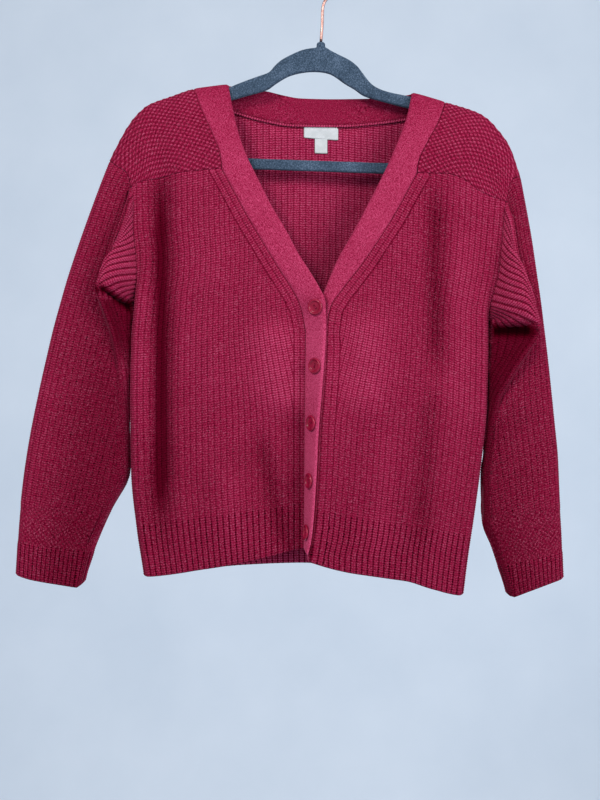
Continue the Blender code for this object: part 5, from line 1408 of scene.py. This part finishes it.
def seed_wool(name, per_mark=1.0, floor=0.24, swing=0.38):
    """Seed stitch: a bump in every second place, painted a swing lighter than the painted shade on the floor of
    the gaps.
    """
    material, maths = new_material(name, 0.92)
    rib, row, tone = knit_marks(maths)
    first = maths("SINE", maths.times(rib, math.pi * per_mark))
    second = maths("SINE", maths.times(row, math.pi))
    bump = maths.ramp(maths.times(first, second), -0.4, 1.0)
    finish_cloth(maths, maths("ADD", floor, maths.times(bump, swing)), tone, 0.0006, 0.8, 0.42)
    return material


def smooth_knit(name):
    """Fine double knit: small legs that hardly stand out, painted a little lighter than the painted shade between
    them.
    """
    material, maths = new_material(name, 0.85)
    rib, row, tone = knit_marks(maths)
    lean, stitch = stitches(maths, rib, row, 0.5)
    leg = maths("ADD", 0.5, maths.times(maths("SINE", maths.times(lean, math.pi)), 0.5))
    light = maths("ADD", 0.42, maths.times(maths.times(stitch, leg), 0.30))
    finish_cloth(maths, light, tone, 0.0003, 1.3, 0.14)
    return material


def button_gloss(name):
    """Dyed semi-gloss plastic with faint clouds in it."""
    material, maths = new_material(name, 0.28)
    cloud = maths.noise(190.0, 3.0)
    maths.paint(maths.colours(cloud, (0.3, (0.21, 0.003, 0.022)), (0.7, (0.30, 0.007, 0.040))))
    maths.set(Specular_IOR_Level=0.22, Coat_Weight=0.12, Coat_Roughness=0.1)
    return material


def flock(name):
    """Short velvet flock: a grainy slate blue that is lighter at its edges."""
    material, maths = new_material(name, 0.95)
    grain = maths.noise(700.0, 4.0)
    level = maths("ADD", maths.times(grain, 0.75), maths.times(maths.noise(40.0, 3.0), 0.25))
    stops = (0.28, (0.012, 0.022, 0.038)), (0.5, (0.042, 0.068, 0.105)), (0.75, (0.13, 0.18, 0.26))
    maths.paint(maths.colours(level, *stops))
    maths.bump(grain, 0.0005)
    maths.set(Sheen_Weight=0.25, Sheen_Roughness=0.4, Sheen_Tint=FLOCK_SHEEN, Specular_IOR_Level=0.1)
    return material


def woven_tape(name):
    """White woven tape with a fine crosswise weave."""
    material, maths = new_material(name, 0.7)
    x, _, z = maths.split(maths.own())
    warp = maths("SINE", maths.times(x, 2 * math.pi / 0.0006))
    weft = maths("SINE", maths.times(z, 2 * math.pi / 0.0005))
    weave = maths("ADD", maths.times(maths.times(warp, weft), 0.25), 0.5)
    level = maths("ADD", maths.times(weave, 0.5), maths.times(maths.noise(120.0), 0.5))
    maths.paint(maths.colours(level, (0.25, (0.40, 0.42, 0.43)), (0.75, (0.60, 0.62, 0.63))))
    maths.bump(weave, 0.0001, 0.6)
    return material


def plated_wire(name):
    """Polished plated wire, faintly brushed."""
    material, maths = new_material(name, 0.26, 1.0)
    wear = maths.noise(260.0, 3.0)
    maths.paint(maths.colours(wear, (0.35, (0.26, 0.135, 0.115)), (0.65, (0.40, 0.24, 0.21))))
    return material


def pale_plaster(name):
    material, maths = new_material(name, 0.9)
    patch = maths.noise(3.0, 4.0)
    maths.paint(maths.colours(patch, (0.3, (0.66, 0.73, 0.815)), (0.7, (0.71, 0.775, 0.855))))
    return material


def button_form():
    """A turned button: a flat dish with two sewing holes, a round rim and a smaller base, and its thread."""
    dish = [(radius, DISH_LEVEL) for radius in np.arange(DISH_STEP, 5.2, DISH_STEP)]
    profile = np.array(dish + list(through(BUTTON_TOP, 3)) + list(through(BUTTON_UNDER, 3))[1:])
    turns = np.linspace(0, 2 * np.pi, BUTTON_STEPS, endpoint=False)
    radius, level = profile[:, :1], profile[:, 1:]
    spots = np.stack([radius * np.cos(turns), radius * np.sin(turns), level + 0 * turns], axis=-1)
    top = spots[: len(dish)]
    for sign in (-1, 1):
        away = np.hypot(top[..., 0] - sign * HOLE_OUT, top[..., 1])
        top[..., 2] -= HOLE_DEEP * (1 - blend01(HOLE_RADIUS - 0.25, HOLE_RADIUS + 0.1, away))
    size = len(profile) * BUTTON_STEPS
    caps = [tuple(range(BUTTON_STEPS)), tuple(range(size - BUTTON_STEPS, size))]
    parts = [(spots.reshape(-1, 3), ring_faces(len(profile), BUTTON_STEPS) + caps, 0)]
    share = np.linspace(0, 1, 13)
    for aside in THREADS_ASIDE:
        along = HOLE_OUT * 1.1 * (2 * share - 1)
        across_hole = aside * (1 + 0.3 * np.sin(3 * np.pi * share))
        line = np.stack([along, across_hole, THREAD_LOW + THREAD_ARCH * np.sin(np.pi * share) ** 0.6], axis=-1)
        parts.append((*sweep(line, THREAD, 8), 1))
    return parts


def make_buttons():
    """Five buttons seated on the top band, each turned a little differently on its thread."""
    grid, normals = band
    middle = grid[0] + (grid[-1] - grid[0]) * BUTTON_SHARE
    outward = normalised(normals[BAND_COLUMNS // 2])
    rise = int(np.argmax(middle[:, 2]))
    parts = button_form()
    for number, height in enumerate(BUTTON_HEIGHTS, start=1):
        place = read_line(height, middle[:rise, 2], middle[:rise])
        way = normalised(read_line(height, middle[:rise, 2], outward[:rise]))
        piece = build(f"two_hole_button_{number}", parts, [red_gloss, sewing_thread])
        tip = mathutils.Euler((math.acos(way[2]), 0.0, math.atan2(way[0], -way[1])))
        turn = mathutils.Matrix.Rotation(BUTTON_TURN * number, 3, "Z")
        piece.rotation_euler = (tip.to_matrix() @ turn).to_euler()
        piece.location = (place + way * BUTTON_SEAT) * MM
        declare(piece, f"button_{number}")


def wall_y(grid, x, height):
    """y of a wall's plain inside at a place, read between its own points."""
    levels = [[np.interp(height, points[:, 2], points[:, axis]) for axis in (0, 1)] for points in grid[::4]]
    levels = np.array(levels)
    return np.interp(x, levels[:, 0], levels[:, 1])


def make_tape(name, node, box, seat, corner):
    """A piece of woven tape on the inside of the back, with rounded corners and a raised edge all round."""
    left, right, high_left, high_right, low_left, low_right = box
    columns, rows = TAPE_POINTS
    share, down = np.linspace(0, 1, columns), np.linspace(0, 1, rows)
    x = left + (right - left) * share
    from_end = np.minimum(x - left, right - x)
    cut_in = corner * (1 - np.sqrt(np.clip(1 - (1 - np.clip(from_end / corner, 0, 1)) ** 2, 0, 1)))
    top = high_left + (high_right - high_left) * share - cut_in
    low = low_left + (low_right - low_left) * share + 0.2 * cut_in
    height = top[:, None] + (low - top)[:, None] * down
    lines = zip(x, height)
    flat = np.array([[wall_y(back[0], one, min(level, TAPE_TOP)) for level in line] for one, line in lines])
    wave = 0.25 * np.sin(share * 7.0)[:, None] * down**2
    inner = np.stack([np.repeat(x[:, None], rows, axis=1), flat - seat - wave, height], axis=-1)
    edge = np.minimum(np.minimum(from_end[:, None], top[:, None] - height), height - low[:, None])
    hem = TAPE_HEM * (blend01(0.2, 0.6, edge) - 0.6 * blend01(1.0, 1.5, edge))
    outer = inner - (TAPE_THICK * 0.6 + hem)[..., None] * (0, 1, 0)
    spots = np.concatenate([outer.reshape(-1, 3), inner.reshape(-1, 3)])
    size = columns * rows
    faces = []
    for c in range(columns - 1):
        for r in range(rows - 1):
            corners = (c * rows + r, (c + 1) * rows + r, (c + 1) * rows + r + 1, c * rows + r + 1)
            faces += [corners, tuple(size + corner for corner in corners[::-1])]
    rim = [c * rows for c in range(columns)] + [(columns - 1) * rows + r for r in range(1, rows)]
    rim += [c * rows + rows - 1 for c in range(columns - 2, -1, -1)] + list(range(rows - 2, 0, -1))
    faces += [(b, a, size + a, size + b) for a, b in zip(rim, rim[1:] + rim[:1])]
    declare_cloth(build(name, [(spots, faces, 0)], [white_tape]), node)


def bar_end(sign, half, corner, level):
    """Points round one end of the trouser bar, turning up into the arm."""
    points = []
    for degrees in range(0, 91, 9):
        turn = math.radians(degrees)
        x = BAR_MIDDLE[0] + sign * (half - corner + corner * math.sin(turn))
        height = BAR_MIDDLE[1] + (x - BAR_MIDDLE[0]) * BAR_TILT
        points.append((x, height + level + corner * (1 - math.cos(turn))))
    return points[::-sign]


def hanger_line(upper, half, corner, level):
    """A closed outline: over the arms by the given points, and back along the bar."""
    ends = [bar_end(sign, half, corner, level) for sign in (1, -1)]
    return [tuple(point) for point in through(upper, 4)] + ends[0] + ends[1]


def baked(piece):
    return bpy.data.meshes.new_from_object(piece.evaluated_get(bpy.context.evaluated_depsgraph_get()))


def hanger_plate():
    """The flat plate of arch, arms and bar with its round rims, as a mesh."""
    outline = bpy.data.curves.new("hanger outline", "CURVE")
    outline.dimensions = "2D"
    outline.fill_mode = "BOTH"
    outline.extrude = (HANGER_THICK / 2 - HANGER_EDGE) * MM
    outline.bevel_depth = HANGER_EDGE * MM
    outline.bevel_resolution = 4
    outline.offset = -HANGER_EDGE * MM
    for line in (
        hanger_line(HANGER_TOP, BAR_HALF + BAR_OUT, BAR_CORNER + 10, -BAR_TALL / 2),
        hanger_line(HANGER_UNDER, BAR_HALF + BAR_IN, BAR_CORNER, BAR_TALL / 2),
    ):
        spline = outline.splines.new("POLY")
        spline.points.add(len(line) - 1)
        spline.use_cyclic_u = True
        for point, (x, height) in zip(spline.points, line):
            point.co = (x * MM, height * MM, 0.0, 1.0)
    plate = add_object("hanger outline", outline)
    plate.rotation_euler = (math.radians(90), 0.0, 0.0)
    flat = baked(plate)
    flat.transform(plate.matrix_world)
    bpy.data.objects.remove(plate)
    return flat


def hanger_boss():
    """Points and faces of the round boss that holds the hook."""
    knob = [(BOSS_RADIUS, BOSS_LOW), (BOSS_RADIUS, BOSS_SHOULDER)]
    for a in np.linspace(0, np.pi / 2, 7)[1:-1]:
        knob.append((BOSS_RADIUS * math.cos(a) ** 0.7, BOSS_SHOULDER + 3.1 * math.sin(a)))
    knob.append((0.6, BOSS_CAP))
    line = [(BOSS_X, 0.0, BOSS_TOP + level) for _, level in knob]
    return sweep(line, [radius for radius, _ in knob], 24)


def make_hanger():
    """Arch, arms, trouser bar and the hook's boss in one moulding."""
    work = bmesh.new()
    work.from_mesh(hanger_plate())
    spots, faces = hanger_boss()
    corners = [work.verts.new(spot) for spot in spots * BOSS_SQUASH * MM]
    for face in faces:
        work.faces.new([corners[i] for i in face])
    mesh = bpy.data.meshes.new("velvet_hanger")
    work.to_mesh(mesh)
    work.free()
    piece = add_object("velvet_hanger", mesh)
    even = piece.modifiers.new("even", "REMESH")
    even.mode = "VOXEL"
    even.voxel_size = HANGER_GRAIN * MM
    piece.modifiers.new("ease", "SMOOTH").iterations = 4
    done = baked(piece)
    piece.modifiers.clear()
    piece.data = done
    done.materials.clear()
    done.materials.append(velvet)
    done.shade_smooth()
    declare(piece, "hanger")


def make_hook():
    """The hook's wire: a straight stem, an outward bend and most of a circle that ends in a round tip."""
    wire = HOOK_WIRE / 2
    radius = HOOK_INSIDE + wire
    points = [(x, 0.0, height) for x, height in HOOK_STEM]
    for turn in map(math.radians, HOOK_BEND):
        points.append((radius * math.cos(turn), 0.0, -HOOK_INSIDE + radius * math.sin(turn)))
    line = through(points, 5)
    radii = np.full(len(line), wire)
    radii[-len(HOOK_TIP):] = wire * np.sqrt(1 - HOOK_TIP**2)
    piece = build("hook_wire", [(*sweep(line, radii, 24), 0)], [plated])
    declare(piece, "hanger_hook")


def make_neck_ridge():
    """The linked seam inside the back neck: a row of small round stitches standing off the wall."""
    places = neck_seam(back)
    seam = along_seam(places, 0)
    reach = lengths(seam)
    at = np.arange(0, reach[-1], RIDGE_STITCH / 10)
    swing = 2 * np.pi * at / RIDGE_STITCH
    off = (RIDGE_OFF + 0.3 * np.cos(swing))[:, None]
    line = read_line(at, reach, seam) + read_line(at, reach, -along_seam(places, 1)) * off
    line[:, 2] += 0.5 * np.sin(swing) - 0.2
    cord = sweep(line, RIDGE_RADIUS + 0.4 * np.cos(swing))
    # The linked seam gets a painted highlight
    piece = build("neck_seam_inside", [(*cord, 0)], [wool_smooth], tone=RIDGE_HIGHLIGHT)
    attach(piece, "root")


def slant_distance(side, x, height):
    """Distance of a place on a front from its placket and slanting neck seam, and how far up that line it is."""
    rows = SIDES[side]["slant"]
    order = np.argsort(rows["height"])
    line = np.stack([rows["x"][order], rows["height"][order]], axis=-1)
    below = np.arange(HEM_LEVEL, line[0, 1] - 6, 20.0)
    line = np.concatenate([np.stack([placket_x(side, below), below], axis=-1), line])
    best = np.full(np.shape(x), 1e9)
    along = np.zeros(np.shape(x))
    reached = 0.0
    for a, b in zip(line, line[1:]):
        run = b - a
        size = np.hypot(*run)
        t = np.clip(((x - a[0]) * run[0] + (height - a[1]) * run[1]) / size**2, 0, 1)
        away = np.hypot(x - a[0] - t * run[0], height - a[1] - t * run[1])
        along = np.where(away < best, reached + t * size, along)
        best = np.minimum(best, away)
        reached += size
    return best, along


def make_front(side):
    grid, normals = fronts[side]
    gapped = pull_in(grid, SEAM_PULL, start_column=True, end_column=True, end_row=True)
    points, facings, rib, from_hem, from_top, full = stitch_rows(gapped, normals, FRONT_PER_RIB)
    rows = from_hem / ROW
    x, height = points[..., 0], points[..., 2]
    away, along = slant_distance(side, x, height)
    beside = away < FASHION * RIB_WIDE
    from_placket = np.abs(x - SIDES[side]["slant"]["x"][-1 if side == "right" else 0])
    leaning = rib + LEAN_RIBS * np.exp(-((from_placket / LEAN_REACH) ** 2)) * blend01(*LEAN_HEIGHTS, height)
    rib_here = np.where(beside, SIDES[side]["ribs"] - away / RIB_WIDE, leaning)
    rows_here = np.where(beside, along / ROW, rows)
    relief = rib_relief(rib_here, rows_here, full)
    fan = np.exp(-(((away - FASHION * RIB_WIDE - FAN_HALF) / FAN_HALF) ** 2)) * (height > FAN_LOWEST)
    from_stitch = (((along / FAN_STEP) % 1) - 0.5) * FAN_STEP
    relief = relief + FAN_RISE * fan * np.exp(-((from_stitch / FAN_LONG) ** 2))
    relief = relief * lowered(from_top, 0.3, 2.6)
    relief = relief * lowered(np.abs(placket_x(side, height) - x), 0.2, 2.0)
    outer = points + facings * ((WALL + relief) * rounding(from_hem))[..., None]
    zones = (height < np.interp(x, *HEM_TOP[side])).astype(int)[:-1, :-1]
    marks = np.stack([rib_here, rows_here], axis=-1)
    # Painted shade toward the hem, painted shade in the folds' troughs and painted light on their ridges
    tone = FRONT_TONE - HEM_SHADE * blend01(*HEM_SHADE_LEVELS, height)
    tone = np.clip(tone + FOLD_LIGHT_AND_SHADE * folds(FRONT_FOLDS, x, height), 0.2, 1.2)
    piece = add_shell(f"ribbed_front_{side}", outer, points, marks, zones, [wool_rib, wool_hem], tone=tone)
    declare_cloth(piece, f"front_{side}")


def make_back():
    grid, normals = back
    gapped = pull_in(grid, SEAM_PULL, start_column=True, end_column=True, end_row=True)
    points, facings, rib, from_hem, from_top, full = stitch_rows(gapped, normals, BACK_PER_RIB)
    rows = from_hem / ROW
    relief = rib_relief(rib, rows, full) * lowered(from_top, 0.3, 2.6)
    outer = points + facings * ((WALL + relief) * rounding(from_hem))[..., None]
    inside = points + facings * (0.7 * full * np.sin(np.pi * (rib % 1)) ** 2)[..., None]
    zones = (points[..., 2] < np.interp(points[..., 0], *BACK_HEM_TOP)).astype(int)[:-1, :-1]
    # The back's inside gets painted light
    piece = add_shell("ribbed_back", outer, inside, np.stack([rib, rows], axis=-1), zones, [wool_rib, wool_hem],
                      inner_tone=BACK_INSIDE_LIGHT, skip=(1, 14))
    declare_cloth(piece, "back")


def make_yoke(side):
    grid, normals = yokes[side]
    gapped = pull_in(grid, SEAM_PULL, start_column=True, end_column=True, start_row=True, end_row=True)
    wide = np.linalg.norm(gapped[-1] - gapped[0], axis=-1).max()
    long = max(lengths(line)[-1] for line in gapped)
    share, row = (np.linspace(0, 1, math.ceil(size / step)) for size, step in zip((wide, long), SEED_GRID))

    def finer(values):
        values = smooth(YOKE_SHARES, values, share).transpose(1, 0, 2)
        return smooth(YOKE_ROWS, values, row).transpose(1, 0, 2)

    points, facings = finer(gapped), finer(normals)
    along = np.stack([lengths(line) for line in points])
    over = np.abs(points[..., 0] - points[:1, :, 0])
    middle = along.shape[1] // 2
    rows = (along - along[:, middle : middle + 1]) / ROW
    stitch = over / SEED_WIDE
    edge = np.minimum(np.minimum(along, along[:, -1:] - along), np.minimum(over, over[-1:] - over))
    thick = YOKE_WALL + seed_relief(stitch, rows) * blend01(0.2, 1.8, edge)
    outer = points + facings * thick[..., None]
    marks = np.stack([stitch, rows], axis=-1)
    zones = np.zeros((points.shape[0] - 1, points.shape[1] - 1), int)
    piece = add_shell(f"seed_yoke_{side}", outer, points, marks, zones, [wool_seed], tone=YOKE_TONE)
    declare_cloth(piece, f"yoke_{side}")


def mouth(side, x, height):
    """How far a place goes in: all the way in the dark mouth under a sleeve's drag fold, and 0 outside it."""
    first, last, half, deep = MOUTHS[side]
    run = np.subtract(last, first)
    size = np.hypot(*run)
    share = ((x - first[0]) * run[0] + (height - first[1]) * run[1]) / size**2
    off = ((height - first[1]) * run[0] - (x - first[0]) * run[1]) / size
    ends = blend01(-0.06, 0.12, share) * (1 - blend01(0.9, 1.06, share))
    return ends * np.exp(-((off / half) ** 4)) * deep


def make_sleeve(side):
    grid, normals = sleeves[side]
    gapped = pull_in(grid, 0.25, start_row=True)
    points, facings, rib, from_cuff, from_top, full = stitch_rows(
        gapped[:, ::-1], normals[:, ::-1], 2 * SLEEVE_FINER
    )
    out, height = SIDES[side]["sign"] * points[..., 0], points[..., 2]
    rows = from_cuff / ROW
    seed_top = np.interp(out, *SEED_TOP[side])
    cuff_top = np.interp(out, *CUFF_TOP[side])
    in_seed = SEED_SOFT * blend01(seed_top + 4, seed_top - 4, height)
    in_seed = in_seed * blend01(cuff_top - 3, cuff_top + 3, height)
    above_lip = blend01(*LIP_LEVELS[side], height)
    flap = blend01(FOOT_RIB, FOOT_RIB + 1, rib) * above_lip
    relief = rib_relief(rib, rows, full, (1 - in_seed) * (1 + flap))
    relief = relief * lowered(from_top, 0.3, 3.0, 0.3)
    outer = points + facings * ((WALL + relief) * rounding(from_cuff))[..., None]
    zones = np.where(height <= cuff_top, 2, np.where(height < seed_top, 1, 0))[:-1, :-1]
    # Painted light on the flap above the lip and painted shade just below it, from rib to rib
    tones = SIDES[side]["tones"]
    upper, middle, lower = (column(tones, "rib", name, rib) for name in ("upper", "middle", "lower"))
    tone = middle + (upper - middle) * above_lip
    # Painted shade in the grooves of the drag fold's flap
    tone = tone * (1 - FLAP_GROOVE_SHADE * flap * np.abs(2 * (rib % 1) - 1) ** 2)
    # Painted shade over the whole sleeve
    tone = SLEEVE_SHADE * (lower + (tone - lower) * blend01(*LOW_LEVELS[side], height))
    sunk = mouth(side, points[..., 0], height) * (rib > FOOT_RIB)
    points[..., 1] += sunk
    tone = tone * (1 - MOUTH_SHADE * sunk / MOUTHS[side][3])
    piece = add_shell(
        f"ribbed_sleeve_{side}", outer, points, np.stack([rib, rows], axis=-1), zones,
        [wool_rib, wool_cuff_seed, wool_hem], tone=tone, skip=(5, 6), wrap=True,
    )
    declare_cloth(piece, f"sleeve_{side}")


def make_band():
    grid, normals = band
    gapped = pull_in(grid, SEAM_PULL, start_column=True)
    reach = lengths(gapped[BAND_COLUMNS // 2])
    at = np.linspace(0, reach[-1], math.ceil(reach[-1] / BAND_STEP))
    points, facings = (np.stack([read_line(at, reach, line) for line in lines]) for lines in (gapped, normals))
    share = np.linspace(0, 1, BAND_COLUMNS)[:, None]
    wide = np.linalg.norm(points[-1] - points[0], axis=-1)[None, :]
    ends = np.minimum(at, at[-1] - at)[None, :]
    thick = BAND_WALL + BAND_CROWN * (1 - (2 * share - 1) ** 4)
    thick = thick * rounding((1 - share) * wide, 2.0) * rounding(ends) * lowered(share * wide, 0.0, 2.0, 0.6)
    outer = points + facings * thick[..., None]
    marks = np.stack([share * wide / BAND_STITCH, at / BAND_ROW + 0 * share], axis=-1)
    zones = np.zeros((BAND_COLUMNS - 1, len(at) - 1), int)
    on_top_band = (points[..., 0] < PLACKET_EDGE) & (at < reach[-1] / 2)
    # Painted light on the placket's top band, and painted shade at the back of the neck
    tone = 1 + PLACKET_LIGHT * on_top_band * blend01(*PLACKET_LEVELS, points[..., 2])
    tone = tone - NECK_SHADE * blend01(*NECK_DEPTHS, points[..., 1])
    piece = add_shell("smooth_band", outer, points, marks, zones, [wool_smooth], tone=tone, skip=(3, 3))
    declare_cloth(piece, "front_band")


def make_camera():
    lens = bpy.data.cameras.new("camera")
    lens.lens = CAMERA_LENS
    lens.sensor_width = CAMERA_SENSOR
    lens.clip_start = 0.02
    lens.clip_end = 50.0
    camera = add_object("camera", lens)
    camera.location = [value * MM for value in CAMERA_AT]
    camera.rotation_euler = (math.radians(90), 0.0, 0.0)
    bpy.context.scene.camera = camera


def make_light(name, at, aim, power, size, colour):
    lamp = bpy.data.lights.new(name, "AREA")
    lamp.energy = power
    lamp.color = colour
    lamp.size = size
    piece = add_object(name, lamp)
    piece.location = at
    piece.rotation_euler = (mathutils.Vector(aim) - mathutils.Vector(at)).to_track_quat("-Z", "Y").to_euler()


def make_stage():
    """A pale wall that curves into a pale floor, far enough behind that the back can be seen too."""
    profile = [(FLOOR_FRONT, FLOOR_LEVEL)]
    for turn in map(math.radians, range(0, 91, 10)):
        rise = COVE_RADIUS * (1 - math.cos(turn))
        profile.append((COVE_START + COVE_RADIUS * math.sin(turn), FLOOR_LEVEL + rise))
    profile.append((COVE_START + COVE_RADIUS, WALL_TOP))
    spots = [(x, y, z) for y, z in profile for x in (-STAGE_HALF, STAGE_HALF)]
    faces = [(2 * i, 2 * i + 1, 2 * i + 3, 2 * i + 2) for i in range(len(profile) - 1)]
    mesh = bpy.data.meshes.new("wall_and_floor")
    mesh.from_pydata(spots, [], faces)
    mesh.shade_smooth()
    mesh.materials.append(pale_plaster("pale plaster"))
    add_object("wall_and_floor", mesh)


def make_world():
    world = bpy.data.worlds.new("soft daylight")
    bpy.context.scene.world = world
    world.use_nodes = True
    sky = world.node_tree.nodes["Background"]
    sky.inputs["Color"].default_value = SKY_COLOUR
    sky.inputs["Strength"].default_value = SKY_STRENGTH


bpy.context.scene.view_settings.view_transform = "Standard"
make_camera()
make_world()
make_stage()
for lamp in LAMPS:
    make_light(*lamp)

wool_rib = rib_wool("ribbed wool")
# The hem rib's grooves get more painted shade
wool_hem = rib_wool("hem rib wool", groove=0.3)
wool_seed = seed_wool("seed stitch wool")
wool_cuff_seed = seed_wool("cuff seed stitch wool", per_mark=2.0, floor=0.30, swing=0.22)
wool_smooth = smooth_knit("smooth wool")
red_gloss = button_gloss("red button gloss")
sewing_thread = smooth_knit("sewing thread")
white_tape = woven_tape("white woven tape")
velvet = flock("slate velvet flock")
plated = plated_wire("plated hook wire")

fronts = {side: front_wall(side) for side in SIDES}
yokes = {side: yoke_wall(side) for side in SIDES}
back = back_wall()
band = band_wall(fronts, yokes, back)
for side in SIDES:
    share_yoke_seams(side, fronts[side], yokes[side], back)
sleeves = {side: sleeve_wall(side, armhole(side, fronts[side], yokes[side], back)) for side in SIDES}
for side in SIDES:
    yokes[side][1][-1, 0] = fronts[side][1][0, -1]
    yokes[side][1][-1, -1] = back[1][0 if side == "right" else -1, -1]

for side in SIDES:
    make_front(side)
    make_yoke(side)
    make_sleeve(side)
make_back()
make_band()
make_neck_ridge()
make_buttons()
make_tape("woven_label", "label", LABEL, 0.55, 2.6)
make_tape("size_tab_tape", "size_tab", TAB, 0.35, 0.6)
make_hanger()
make_hook()
